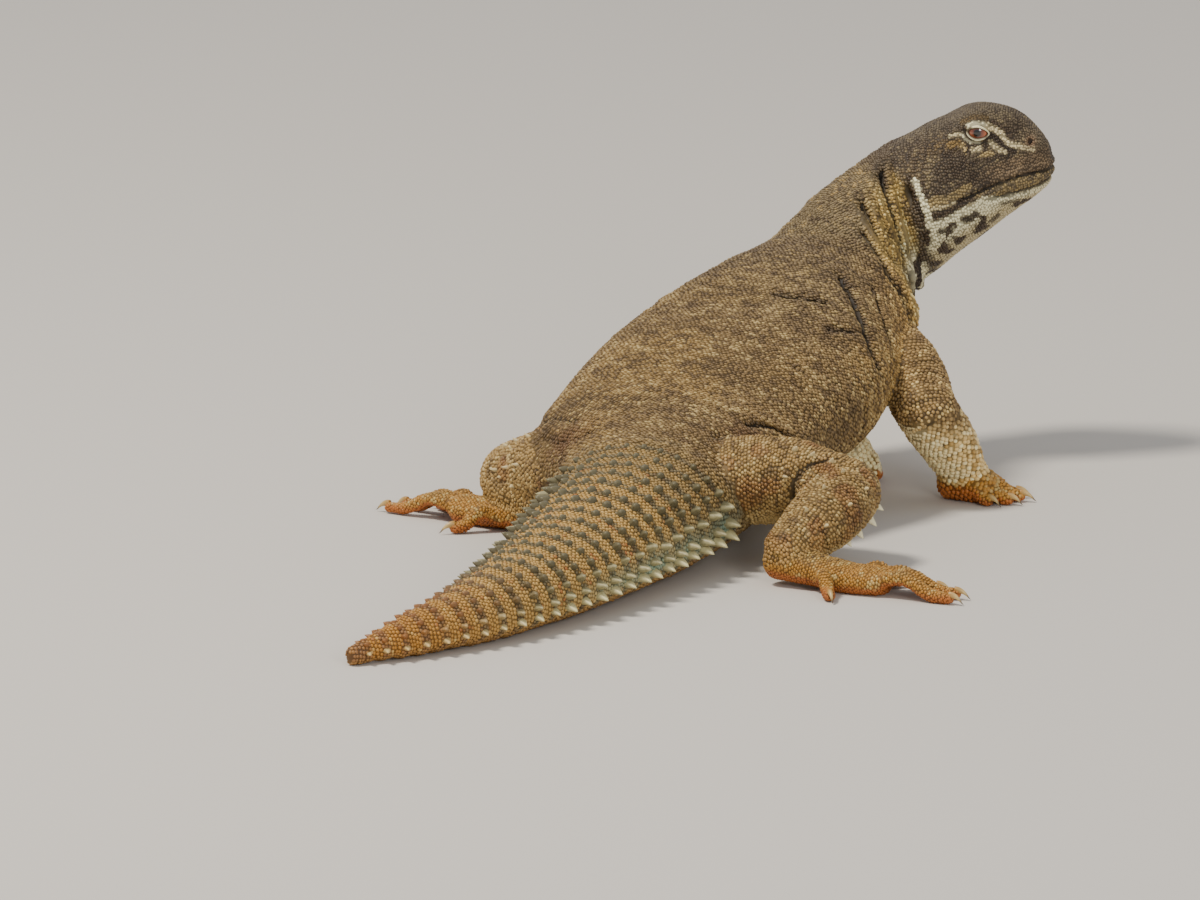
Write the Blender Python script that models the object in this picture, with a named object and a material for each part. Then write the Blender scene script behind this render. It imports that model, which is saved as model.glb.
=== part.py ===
"""An adult spiny-tailed lizard at life size, with its chest raised on its forelegs and its head turned.

The axes are +X forwards along the trunk, +Y to the animal's left and +Z up. Feet, tail and vent lie on z = 0.
Sizes are in millimetres, and MM turns them into metres.
"""

import math

import bmesh
import bpy
import numpy as np
from mathutils import Matrix, Vector

MM = 0.001
GAP = 0.3
UP = Vector((0, 0, 1))

# Body line from the tail's tip to the neck: centre x, y, z, then half width, rise and drop of the section
BODY_STATIONS = (
    (-163, 1, 2.2, 1.8, 2.8, 2.2),
    (-148, -5, 3.6, 5.6, 6.6, 3.7),
    (-120, -11, 5.4, 10.8, 10.4, 6.0),
    (-85, -11, 7.2, 16.5, 14.0, 8.0),
    (-50, -7, 9.0, 21.5, 18.0, 10.0),
    (-22, -3, 11.0, 24.5, 21.0, 12.0),
    (2, 3, 16.0, 29.0, 21.5, 16.5),
    (17, 9, 20.5, 37.0, 21.5, 20.0),
    (36, 11.5, 26.5, 39.5, 21.0, 22.5),
    (64, 12.5, 33.0, 41.0, 23.0, 24.0),
    (88, 11.5, 40.5, 34.5, 24.0, 22.0),
    (107, 9.5, 49.0, 25.0, 21.0, 20.0),
    (122, 9.5, 60.0, 18.5, 17.4, 19.0),
)
TAIL_SPLIT = 3
TAIL_ROOT = 5
NECK_ROOT = 11
BODY_SIDES = 26
TAIL_SIDES = 20
TRUNK_RINGS = 22
NECK_RINGS = 15
TAIL_RINGS = (14, 12)

# The head's base, where the neck meets it, and the way that it points
HEAD_BASE = Vector((139.3, 6.7, 71.2))
HEAD_YAW = math.radians(-65)
HEAD_PITCH = math.radians(15)
HEAD_RINGS = 14
HEAD_POWER = 0.78

# Sections of the head: distance ahead of its base, widest height, half width, rise and drop
HEAD_SECTIONS = (
    (0.0, -4.0, 17.0, 18.2, 19.6),
    (5.0, -4.0, 18.0, 19.0, 17.6),
    (10.0, -3.5, 18.3, 20.0, 15.6),
    (15.0, -3.0, 17.2, 20.4, 14.0),
    (20.0, -2.5, 15.8, 20.8, 12.4),
    (25.0, -2.3, 13.8, 21.0, 10.4),
    (30.0, -2.2, 11.6, 19.6, 8.6),
    (34.0, -2.3, 9.8, 17.2, 7.0),
    (37.0, -2.3, 7.8, 14.0, 5.4),
    (39.4, -1.6, 5.4, 9.4, 4.0),
    (40.8, 0.0, 2.6, 4.0, 2.4),
)

# The mouth's line, from its corner to the snout, as distance ahead and height on the head
MOUTH_LINE = ((16, -2.9), (21, -2.2), (26, -1.6), (32, -1.4), (36, -1.8), (39, -2.3), (44, -2.8))
GROOVE = 0.8
GROOVE_DEPTH = 1.2
LIP_REACH = 2.2
LIP_STANDS = 0.45

EYE = Vector((24.4, 7.9, 12.8))
EYE_RADIUS = 3.7
LID = 0.7
EYE_FACETS = (14, 9)
EYE_OPENING = (2.9, 1.7)
NOSTRIL = Vector((36.9, 5.9, 6.2))
NOSTRIL_RADIUS = 0.9
EAR = Vector((2.9, 17.3, 2.0))
EAR_SIZE = (1.4, 1.9, 3.0)

# Swellings of the head over the jaw muscles and the brow, and the hollow of the temple:
# distance ahead, height, how far each spreads ahead and upwards, and how far it stands
HEAD_SWELLINGS = ((7, -5, 6, 7, 1.4), (21, 15, 5, 3.5, 1.3), (10, 9, 5, 4, -1.0))

# Neck folds: how far they stand, how far apart they are, and how far they slant from top to bottom
FOLD_STANDS = 1.3
FOLD_STEP = 8.5
FOLD_SLANT = 9.0

# Tail spines: where their whorls start and end, then their sizes on a thin and on a wide tail
WHORLS = 24
FIRST_WHORL = 5.0
WHORLS_PAST_ROOT = 12.0
WIDEST_TAIL = 24.0
SPINE_HEIGHT = 4.6
SPINE_ON_TIP = 0.42
SPACING_ON_TIP = 0.55
SPINE_ON_TOP = 0.55
SPINE_ON_EDGE = 0.6
SPINE_TILT = 0.55
SPINE_TILT_LOST = 0.2
SPINE_SIDES = 4
SPINE_SPACING = 4.5
SPINE_ARC = math.radians(104)
SPINE_SUNK = 1.2
SPINE_WIDTH = 0.62
SPINE_LEAN = 0.3
WHORL_CROWDING = 1.08
WHORL_CLEAR = 4.0

# Half width and half thickness of each length of a leg, at its start, middle and end
HIND_THICKNESS = (((13.0, 12.0), (12.0, 11.4), (9.6, 9.2)), ((9.6, 9.2), (9.8, 8.8), (6.4, 5.8)))
FORE_THICKNESS = (((10.0, 10.0), (9.4, 9.4), (8.6, 8.4)), ((8.6, 8.4), (8.8, 7.4), (7.2, 5.4)))

# Joints of each leg: the upper length's start, middle and end, then the lower length's middle and end
HIND_JOINTS = {
    "right": ((2, -13, 20), (9, -32, 21), (12, -48, 19), (-4, -50, 15), (-20, -48, 9.5)),
    "left": ((-2, 16, 20), (6, 36, 17.5), (12, 53, 12.5), (8, 46, 10.5), (3, 38.5, 8)),
}
FORE_JOINTS = {
    "right": ((100, -9, 38), (91, -22, 34), (82, -32, 27), (90, -34, 17), (97, -35, 8)),
    "left": ((103, 26, 38), (93, 32, 30), (84, 24, 24), (92, 3, 16), (96, -4, 6)),
}
LEG_SIDES = 12
BLUNT = 0.8

# Pointed scales of the hind legs: half width, height, shares along each length, and turns from its back edge
LEG_SPINE = (1.3, 2.2)
LEG_SPINE_SHARES = (0.15, 0.45, 0.75)
LEG_SPINE_TURNS = (math.radians(20), math.radians(65))

# Toes: where each starts along and across the sole, its length, and the angle that it points outwards at
HIND_TOES = ((22, 5.0, 10, 26), (27, 3.2, 16, 11), (29, 0.4, 21, 3), (28, -2.8, 23, -5), (14, -4.6, 12, -55))
FORE_TOES = ((4, 3.8, 8, 27), (6, 2.6, 10, 14), (7, 0.2, 11, 3), (6, -2.4, 10, -9), (4, -3.8, 8, -24))

# Sole: share of its length, then width and height there
SOLE_SHAPE = ((0.0, 0.85, 1.3), (0.35, 0.95, 1.1), (0.7, 1.0, 1.0), (1.0, 1.0, 0.95))
HEEL_BEHIND = 2.0

# Sole: half width, rise, length, toe radius, the height of the knuckles, how far the heel is lifted
HIND_SOLE = (6.2, 4.4, 29, 2.3, 5.6, 2.4)
FORE_SOLE = (6.8, 5.2, 8, 2.2, 4.6, 0.6)
HIND_HEADING = {"right": math.radians(-84), "left": math.radians(81)}
FORE_HEADING = {"right": math.radians(-76), "left": math.radians(42)}
CLAW_LENGTH = 4.6
CLAW_RADIUS = 1.15

COLOURS = {
    "head": (0.16, 0.12, 0.075),
    "neck": (0.27, 0.19, 0.075),
    "torso": (0.24, 0.17, 0.075),
    "tail": (0.3, 0.19, 0.075),
    "leg": (0.26, 0.18, 0.08),
    "foot": (0.5, 0.28, 0.1),
    "eye": (0.05, 0.015, 0.01),
}


class Line:
    """A smooth line through stations, each a centre x, y, z followed by the sizes of the section there."""

    def __init__(self, stations):
        self.rows = np.array(stations, float)
        steps = np.linalg.norm(np.diff(self.rows[:, :3], axis=0), axis=1)
        self.places = np.concatenate([[0.0], np.cumsum(steps)])
        self.slopes = np.gradient(self.rows, self.places, axis=0)

    def at(self, place):
        """The row and its slope at a distance along the line."""
        i = int(np.clip(np.searchsorted(self.places, place) - 1, 0, len(self.places) - 2))
        width = self.places[i + 1] - self.places[i]
        s = (place - self.places[i]) / width
        a, b = self.rows[i], self.rows[i + 1]
        m, n = self.slopes[i] * width, self.slopes[i + 1] * width
        bend, twist = 3 * (b - a) - 2 * m - n, 2 * (a - b) + m + n
        row = a + s * (m + s * (bend + s * twist))
        slope = (m + s * (2 * bend + 3 * s * twist)) / width
        return row, slope

    def frame(self, place, left=None):
        """Centre, forward, left and up at a distance along the line, and the section's sizes."""
        row, slope = self.at(place)
        forward = Vector(slope[:3]).normalized()
        across = UP.cross(forward) if left is None else left - forward * left.dot(forward)
        across.normalize()
        return Vector(row[:3]), forward, across, forward.cross(across), row[3:]


def head_matrix():
    turn = Matrix.Rotation(HEAD_YAW, 4, "Z") @ Matrix.Rotation(-HEAD_PITCH, 4, "Y")
    return Matrix.Translation(HEAD_BASE) @ turn


def head_station(ahead):
    """A body station at a distance ahead of the head's base, so that neck and head share one section."""
    lift, half, rise, drop = (
        np.interp(ahead, [row[0] for row in HEAD_SECTIONS], [row[k] for row in HEAD_SECTIONS])
        for k in (1, 2, 3, 4)
    )
    return (*(head_matrix() @ Vector((ahead, 0, lift))), half, rise, drop)


BODY = Line(BODY_STATIONS + (head_station(0),))
NECK_END = BODY.places[-1]


def body_frame(place):
    """The frame of a section of the body, where the neck's sections turn evenly towards the head's base."""
    centre, forward, left, up, sizes = BODY.frame(place)
    root = BODY.places[NECK_ROOT]
    if place > root:
        ahead = head_matrix().to_3x3() @ Vector((1, 0, 0))
        forward = BODY.frame(root)[1].slerp(ahead, (place - root) / (NECK_END - root))
        left = UP.cross(forward).normalized()
        up = forward.cross(left)
    return centre, forward, left, up, sizes


def section(centre, left, up, sizes, sides, power=1.0, offset=0.0):
    """Points round one section, from its top over the left side and back."""
    half, rise, drop = sizes
    points = []
    for k in range(sides):
        turn = 2 * math.pi * (k + offset) / sides
        across = half * math.copysign(abs(math.sin(turn)) ** power, math.sin(turn))
        reach = rise if math.cos(turn) > 0 else drop
        height = reach * math.copysign(abs(math.cos(turn)) ** power, math.cos(turn))
        points.append(centre + left * across + up * height)
    return points


def solid(name, rings, start, end, colour, on_floor=False):
    """A closed object through rings of points, each end closed by a fan round its own middle point."""
    sides = len(rings[0])
    points = [point for ring in rings for point in ring] + [start, end]
    first, last = len(points) - 2, len(points) - 1
    faces = []
    for i in range(len(rings) - 1):
        for k in range(sides):
            a, b = i * sides + k, i * sides + (k + 1) % sides
            faces.append((a, a + sides, b + sides))
            faces.append((a, b + sides, b))
    tail = (len(rings) - 1) * sides
    for k in range(sides):
        faces.append((first, k, (k + 1) % sides))
        faces.append((last, tail + (k + 1) % sides, tail + k))
    if on_floor:
        points = [Vector((p.x, p.y, max(p.z, 0.0))) for p in points]
    mesh = bpy.data.meshes.new(name)
    mesh.from_pydata([p * MM for p in points], [], faces)
    obj = bpy.data.objects.new(name, mesh)
    bpy.context.scene.collection.objects.link(obj)
    mesh.materials.append(finish(colour))
    return obj


def finish(colour):
    """The plain material of one kind of surface."""
    found = bpy.data.materials.get(colour)
    if found:
        return found
    made = bpy.data.materials.new(colour)
    made.use_nodes = True
    shader = made.node_tree.nodes["Principled BSDF"]
    shader.inputs["Base Color"].default_value = (*COLOURS[colour], 1)
    shader.inputs["Roughness"].default_value = 0.1 if colour == "eye" else 0.6
    shader.inputs["Metallic"].default_value = 0.0
    return made


def combine(target, pieces, operation="UNION"):
    """Joins the pieces to the target, or cuts them from it, and removes them."""
    group = bpy.data.collections.new(target.name + "_pieces")
    bpy.context.scene.collection.children.link(group)
    for piece in pieces:
        bpy.context.scene.collection.objects.unlink(piece)
        group.objects.link(piece)
    modifier = target.modifiers.new("combine", "BOOLEAN")
    modifier.operation = operation
    modifier.solver = "EXACT"
    modifier.operand_type = "COLLECTION"
    modifier.collection = group
    graph = bpy.context.evaluated_depsgraph_get()
    made = bpy.data.meshes.new_from_object(target.evaluated_get(graph))
    target.modifiers.clear()
    target.data = made
    for piece in pieces:
        bpy.data.objects.remove(piece)
    bpy.data.collections.remove(group)
    keep_largest(target)
    return target


def keep_largest(obj):
    """Leaves only the closed surface with the most volume."""
    shape = bmesh.new()
    shape.from_mesh(obj.data)
    bmesh.ops.triangulate(shape, faces=shape.faces)
    left = set(shape.faces)
    islands = []
    while left:
        island, waiting = set(), [left.pop()]
        while waiting:
            face = waiting.pop()
            island.add(face)
            for edge in face.edges:
                for other in edge.link_faces:
                    if other in left:
                        left.remove(other)
                        waiting.append(other)
        islands.append(island)
    volumes = []
    for island in islands:
        corners = [[vertex.co for vertex in face.verts] for face in island]
        volumes.append(sum(a.dot(b.cross(c)) for a, b, c in corners))
    best = volumes.index(max(volumes))
    unwanted = [face for k, island in enumerate(islands) if k != best for face in island]
    bmesh.ops.delete(shape, geom=unwanted, context="FACES")
    shape.to_mesh(obj.data)
    shape.free()


def neck_share(place):
    """How far along the neck a place is, from 0 at its root to 1 at the head."""
    start = BODY.places[NECK_ROOT]
    return min(max((place - start) / (NECK_END - start), 0.0), 1.0)


def neck_folds(place, turn):
    """How far the skin stands out in folds on the sides and underside of the neck."""
    below = 0.5 - 0.5 * math.cos(turn)
    ends = math.sin(math.pi * neck_share(place))
    along = place - BODY.places[NECK_ROOT] + FOLD_SLANT * below
    return FOLD_STANDS * below * ends * math.cos(2 * math.pi * along / FOLD_STEP)


def body_rings(start, end, count, sides, grow=0.0):
    rings = []
    for k in range(count):
        place = start + (end - start) * k / (count - 1)
        centre, _, left, up, sizes = body_frame(place)
        power = 1.0 + (HEAD_POWER - 1.0) * neck_share(place)
        ring = section(centre, left, up, sizes + grow, sides, power)
        for j, point in enumerate(ring):
            out = (point - centre).normalized()
            ring[j] = point + out * neck_folds(place, 2 * math.pi * j / sides)
        rings.append(ring)
    return rings


def middle(ring):
    return sum(ring, Vector()) / len(ring)


def body_length(name, start, end, count, sides, colour, grow=0.0):
    """One length of the body between two distances along its line, with flat ends."""
    rings = body_rings(start, end, count, sides, grow)
    return solid(name, rings, middle(rings[0]), middle(rings[-1]), colour, on_floor=True)


def cone(name, root, axis, radius, height, sides, colour, lean=Vector()):
    """A pointed scale whose root is sunk below the surface, and whose tip leans over."""
    left = axis.orthogonal().normalized()
    ring = section(root - axis * SPINE_SUNK, left, axis.cross(left), (radius, radius, radius), sides)
    tip = root + axis * height + lean
    points = [*ring, tip]
    faces = [(k, (k + 1) % sides, sides) for k in range(sides)] + [tuple(reversed(range(sides)))]
    mesh = bpy.data.meshes.new(name)
    mesh.from_pydata([p * MM for p in points], [], faces)
    obj = bpy.data.objects.new(name, mesh)
    bpy.context.scene.collection.objects.link(obj)
    mesh.materials.append(finish(colour))
    shape = bmesh.new()
    shape.from_mesh(mesh)
    bmesh.ops.recalc_face_normals(shape, faces=shape.faces)
    shape.to_mesh(mesh)
    shape.free()
    return obj


def tail_spines(start, end):
    """Whorls of spines over the tail's top and sides between two distances, the longest along its edges."""
    spines = []
    reach = BODY.places[TAIL_ROOT] + WHORLS_PAST_ROOT - FIRST_WHORL
    for whorl in range(WHORLS):
        place = FIRST_WHORL + reach * (whorl / WHORLS) ** WHORL_CROWDING
        if not start + WHORL_CLEAR < place < end - WHORL_CLEAR:
            continue
        centre, forward, left, up, (half, rise, drop) = BODY.frame(place)
        arc = SPINE_ARC * (half + rise)
        spread = half / WIDEST_TAIL
        count = max(5, round(arc / (SPINE_SPACING * (SPACING_ON_TIP + (1 - SPACING_ON_TIP) * spread))))
        for k in range(count):
            turn = SPINE_ARC * (2 * (k + 0.5) / count - 1)
            root = centre + left * half * math.sin(turn)
            root += up * (rise if math.cos(turn) > 0 else drop) * math.cos(turn)
            out = (left * math.sin(turn) / half + up * math.cos(turn) / rise).normalized()
            edge = abs(math.sin(turn)) ** 3
            size = SPINE_HEIGHT * (SPINE_ON_TIP + (1 - SPINE_ON_TIP) * spread)
            size *= SPINE_ON_TOP + SPINE_ON_EDGE * edge
            axis = (out - forward * (SPINE_TILT - SPINE_TILT_LOST * edge)).normalized()
            lean = -forward * SPINE_LEAN * size
            spines.append(cone("spine", root, axis, SPINE_WIDTH * size, size, SPINE_SIDES, "tail", lean))
    return spines


def make_tail(name, start, end, rings):
    tail = body_length(name, start, end, rings, TAIL_SIDES, "tail")
    spines = [spine for spine in tail_spines(start, end) if lowest(spine) > GAP * MM]
    return combine(tail, spines)


def lowest(obj):
    return min(vertex.co.z for vertex in obj.data.vertices)


def head_ring(ahead, grow=0.0):
    line = Line([(row[0], 0, row[1], *row[2:]) for row in HEAD_SECTIONS])
    place = np.interp(ahead, line.rows[:, 0], line.places)
    row, _ = line.at(place)
    ring = section(Vector((ahead, 0, row[2])), Vector((0, 1, 0)), UP, row[3:] + grow, BODY_SIDES, HEAD_POWER)
    return [head_bulges(point) for point in ring]


def head_bulges(point):
    """Pushes a point of the head out over the jaw muscles and the brow."""
    side = math.copysign(1.0, point.y)
    shift = 0.0
    for ahead, height, long, high, stands in HEAD_SWELLINGS:
        shift += stands * math.exp(-(((point.x - ahead) / long) ** 2) - ((point.z - height) / high) ** 2)
    return point + Vector((0, side * shift * min(1.0, abs(point.y) / 5), 0))


def head_form(name, grow=0.0, start=GAP):
    """The head without its openings, in its own frame, grown by a skin of the given depth."""
    reach = HEAD_SECTIONS[-1][0]
    shares = [math.sin(0.5 * math.pi * k / (HEAD_RINGS - 1)) ** 0.8 for k in range(HEAD_RINGS)]
    places = [start + (reach - start) * share for share in shares]
    rings = [head_ring(place, grow) for place in places]
    return solid(name, rings, middle(rings[0]), middle(rings[-1]) + Vector((0.5 + grow, 0, 0)), "head")


def mouth_slab(name, below, above, wide=30.0):
    """A thin curved slab along the mouth's line, reaching below and above it."""
    rings = []
    for ahead, height in MOUTH_LINE:
        low, high = height - below, height + above
        corners = ((wide, high), (wide, low), (-wide, low), (-wide, high))
        rings.append([Vector((ahead, y, z)) for y, z in corners])
    return solid(name, rings, middle(rings[0]), middle(rings[-1]), "head")


def ball(name, centre, sizes, colour, segments, rings):
    """A round or oval body."""
    shape = bmesh.new()
    bmesh.ops.create_uvsphere(shape, u_segments=segments, v_segments=rings, radius=1.0)
    stretch = Matrix.Diagonal((*(size * MM for size in sizes), 1))
    shape.transform(Matrix.Translation(centre * MM) @ stretch)
    mesh = bpy.data.meshes.new(name)
    shape.to_mesh(mesh)
    shape.free()
    obj = bpy.data.objects.new(name, mesh)
    bpy.context.scene.collection.objects.link(obj)
    mesh.materials.append(finish(colour))
    return obj


def mirrored(point, side):
    return Vector((point.x, point.y * side, point.z))


def make_head():
    """The head with lids, lips, the line of the mouth, nostrils and ears, and an eye in each socket."""
    head = head_form("head")
    band = mouth_slab("lips", LIP_REACH, LIP_REACH)
    lip_band = combine(band, [head_form("lip_form", LIP_STANDS)], "INTERSECT")
    lid_sizes = [EYE_RADIUS + GAP + LID] * 3
    lids = [ball("lid", mirrored(EYE, side), lid_sizes, "head", *EYE_FACETS) for side in (1, -1)]
    combine(head, [lip_band, *lids])
    slot = mouth_slab("groove", GROOVE / 2, GROOVE / 2)
    groove = combine(slot, [head_form("inner", -GROOVE_DEPTH)], "DIFFERENCE")
    cutters = [groove]
    for side in (1, -1):
        eye, outward = mirrored(EYE, side), Vector((0, side, 0))
        cutters.append(ball("socket", eye, [EYE_RADIUS + GAP] * 3, "head", *EYE_FACETS))
        opening = (EYE_OPENING[0], EYE_RADIUS, EYE_OPENING[1])
        cutters.append(ball("opening", eye + outward * EYE_RADIUS, opening, "head", 12, 8))
        cutters.append(ball("nostril", mirrored(NOSTRIL, side), [NOSTRIL_RADIUS] * 3, "head", 8, 6))
        cutters.append(ball("ear", mirrored(EAR, side), EAR_SIZE, "head", 10, 8))
    combine(head, cutters, "DIFFERENCE")
    head.data.transform(scaled(head_matrix()))
    for name, side in (("eye_left", 1), ("eye_right", -1)):
        eye = ball(name, mirrored(EYE, side), [EYE_RADIUS] * 3, "eye", *EYE_FACETS)
        eye.data.transform(scaled(head_matrix()))
    return head


def scaled(matrix):
    """A matrix in millimetres made to act on points in metres."""
    made = matrix.copy()
    made.translation *= MM
    return made


def rounded(name, stations, sides, colour, left=None, grow=0.0, steps=7, on_floor=False, caps=(60, 30)):
    """A limb-like body through stations with half width and half thickness, and round at both ends."""
    line = Line([(*row[:3], row[3], row[4], row[4]) for row in stations])
    length = line.places[-1]
    offset = 0.5 if on_floor else 0.0
    rings, tips = [], []
    for end, sign in ((0.0, -1), (length, 1)):
        centre, forward, across, up, sizes = line.frame(end, left)
        size = float(min(sizes)) + grow
        tips.append(centre + forward * sign * size * BLUNT)
        cap = []
        for angle in caps:
            bulge = math.sin(math.radians(angle)) * size * BLUNT
            shrink = math.cos(math.radians(angle))
            place = centre + forward * sign * bulge
            cap.append(section(place, across, up, (sizes + grow) * shrink, sides, offset=offset))
        if sign < 0:
            rings += cap
            for k in range(steps):
                place = length * k / (steps - 1)
                centre, _, across, up, sizes = line.frame(place, left)
                rings.append(section(centre, across, up, sizes + grow, sides, offset=offset))
        else:
            rings += reversed(cap)
    return solid(name, rings, tips[0], tips[1], colour, on_floor)


def leg_lengths(joints, thickness, grow=0.0):
    """The upper and lower lengths of a leg, overlapping at the knee or elbow."""
    made = []
    for first, sizes in ((0, thickness[0]), (2, thickness[1])):
        stations = [(*joints[first + k], *sizes[k]) for k in range(3)]
        axis = Vector(joints[first + 2]) - Vector(joints[first])
        left = axis.cross(UP).normalized()
        made.append(rounded("length", stations, LEG_SIDES, "leg", left, grow, steps=6))
    return made


def make_leg(name, joints, thickness, spiny):
    upper, lower = leg_lengths(joints, thickness)
    upper.name = name
    combine(upper, [lower] + (leg_spines(joints, thickness) if spiny else []))
    return combine(upper, body_cutters(), "DIFFERENCE")


def body_cutters():
    """The tail's root, the trunk and the neck, all grown by the gap."""
    root, neck = BODY.places[TAIL_ROOT], BODY.places[NECK_ROOT]
    return [
        body_length("tail_cutter", root - 30, root + 1, 8, TAIL_SIDES, "tail", GAP),
        body_length("torso_cutter", root + GAP, neck, TRUNK_RINGS, BODY_SIDES, "torso", GAP),
        body_length("neck_cutter", neck + GAP, NECK_END, NECK_RINGS, BODY_SIDES, "neck", GAP),
    ]


def leg_spines(joints, thickness):
    """Pointed scales behind the knee or elbow and over the shank."""
    spines = []
    knee, ankle = Vector(joints[2]), Vector(joints[4])
    middle_of_thigh = Vector(joints[1])
    lengths = ((middle_of_thigh, knee, thickness[0][1][0]), (knee, ankle, thickness[1][1][0]))
    for start, end, size in lengths:
        axis = (end - start).normalized()
        back = (Vector((-1, 0, 0)) - axis * -axis.x).normalized()
        top = axis.cross(back)
        top = top if top.z > 0 else -top
        for share in LEG_SPINE_SHARES:
            for turn in LEG_SPINE_TURNS:
                out = back * math.cos(turn) + top * math.sin(turn)
                root = start.lerp(end, share) + out * (size - 0.4)
                way = (out + axis * 0.5).normalized()
                spines.append(cone("spine", root, way, *LEG_SPINE, SPINE_SIDES, "leg"))
    return spines


def toe(start, direction, length, radius, knuckle):
    """A toe with a curved claw, from a point on the sole's front edge."""
    tip = start + direction * length
    bend = start + direction * length * 0.4
    near = start + direction * length * 0.8
    stations = (
        (*start, radius * 1.15, radius * 1.1),
        (bend.x, bend.y, knuckle, radius * 1.05, radius),
        (near.x, near.y, radius * 0.8, radius * 0.95, radius * 0.95),
        (tip.x, tip.y, radius * 0.7, radius * 0.85, radius * 0.85),
    )
    digit = rounded("toe", stations, 6, "foot", UP.cross(direction), steps=4, on_floor=True, caps=(40,))
    root = tip + UP * (radius * 1.1 - tip.z) + direction * radius * 0.2
    claw_line = [
        (*root, CLAW_RADIUS),
        (*(root + direction * CLAW_LENGTH * 0.55 - UP * 0.1), CLAW_RADIUS * 0.75),
        (*(root + direction * CLAW_LENGTH - UP * (radius * 1.1 - 0.3)), 0.25),
    ]
    rings = []
    for x, y, z, size in claw_line:
        rings.append(section(Vector((x, y, z)), UP.cross(direction), UP, (size, size, size), 5))
    claw = solid("claw", rings, middle(rings[0]), middle(rings[-1]) + direction * 0.3, "foot", on_floor=True)
    return [digit, claw]


def make_foot(name, ankle, heading, toes, sole, side, leg):
    """A foot laid flat from under the ankle, its toes spread, cut clear of its leg."""
    half, rise, length, radius, knuckle, lift = sole
    ahead = Vector((math.cos(heading), math.sin(heading), 0))
    inward = Vector((-ahead.y, ahead.x, 0)) * -side
    heel = Vector((ankle[0], ankle[1], 0)) - ahead * HEEL_BEHIND
    stations = []
    for share, wide, high in SOLE_SHAPE:
        raised = rise * high * 0.8 + lift * max(0.0, 1 - share / 0.7)
        centre = heel + ahead * length * share + UP * raised
        stations.append((*centre, half * wide, rise * high))
    foot = rounded(name, stations, 12, "foot", UP.cross(ahead), steps=5, on_floor=True)
    pieces = []
    for along, across, reach, spread in toes:
        start = heel + ahead * along + inward * across + UP * rise * 0.8
        turn = math.radians(spread)
        direction = ahead * math.cos(turn) + inward * math.sin(turn)
        pieces += toe(start, direction, reach, radius, knuckle)
    combine(foot, pieces)
    return combine(foot, leg, "DIFFERENCE")


def centre_on_floor():
    """Moves the whole model so that the middle of its box is over the origin."""
    bpy.context.view_layer.update()
    points = np.array([vertex.co[:2] for obj in bpy.data.objects for vertex in obj.data.vertices])
    shift = -(points.min(axis=0) + points.max(axis=0)) / 2
    for obj in bpy.data.objects:
        obj.data.transform(Matrix.Translation((*shift, 0)))


def main():
    for obj in list(bpy.data.objects):
        bpy.data.objects.remove(obj)
    split, root, neck = (BODY.places[k] for k in (TAIL_SPLIT, TAIL_ROOT, NECK_ROOT))
    make_tail("tail_end", 0, split, TAIL_RINGS[0])
    make_tail("tail_root", split + GAP, root, TAIL_RINGS[1])
    body_length("torso", root + GAP, neck, TRUNK_RINGS, BODY_SIDES, "torso")
    body_length("neck", neck + GAP, NECK_END, NECK_RINGS, BODY_SIDES, "neck")
    make_head()
    for kind, joints_of, thickness, toes, sole, headings in (
        ("hind", HIND_JOINTS, HIND_THICKNESS, HIND_TOES, HIND_SOLE, HIND_HEADING),
        ("fore", FORE_JOINTS, FORE_THICKNESS, FORE_TOES, FORE_SOLE, FORE_HEADING),
    ):
        for hand, side in (("right", -1), ("left", 1)):
            joints = joints_of[hand]
            make_leg(f"{kind}leg_{hand}", joints, thickness, kind == "hind")
            grown = leg_lengths(joints, thickness, GAP) + body_cutters()
            make_foot(f"{kind}foot_{hand}", joints[4], headings[hand], toes, sole, side, grown)
    centre_on_floor()


main()
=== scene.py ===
"""The dressed lizard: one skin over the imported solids, with scales, spines, lids, eyes and claws on it.

Lengths in the tables are millimetres in the part's own frame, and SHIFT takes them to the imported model's.
"""

import itertools
import math

import bpy
import numpy as np
from mathutils import Matrix, Vector
from mathutils.bvhtree import BVHTree
from mathutils.kdtree import KDTree


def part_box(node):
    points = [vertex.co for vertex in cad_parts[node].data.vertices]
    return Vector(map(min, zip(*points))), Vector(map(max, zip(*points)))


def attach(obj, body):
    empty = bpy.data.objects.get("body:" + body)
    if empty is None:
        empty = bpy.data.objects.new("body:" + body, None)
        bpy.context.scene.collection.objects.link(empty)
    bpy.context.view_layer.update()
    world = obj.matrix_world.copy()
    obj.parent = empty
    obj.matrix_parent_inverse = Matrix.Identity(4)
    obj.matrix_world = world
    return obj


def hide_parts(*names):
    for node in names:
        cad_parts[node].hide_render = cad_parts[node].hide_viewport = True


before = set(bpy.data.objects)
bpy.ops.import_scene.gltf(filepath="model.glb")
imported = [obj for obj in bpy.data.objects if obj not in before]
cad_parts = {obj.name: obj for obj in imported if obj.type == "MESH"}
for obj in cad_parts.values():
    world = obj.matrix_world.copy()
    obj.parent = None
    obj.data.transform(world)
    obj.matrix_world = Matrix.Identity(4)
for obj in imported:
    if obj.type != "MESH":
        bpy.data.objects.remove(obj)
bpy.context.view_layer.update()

MM = 0.001
UP = np.array((0.0, 0.0, 1.0))
TURN = 2 * math.pi

# How far the skin lies inside the solids, the voxels that join it, and its triangles
COAT = 0.45
SKIN_VOXEL = 0.72
SKIN_TRIANGLES = 186000

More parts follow.
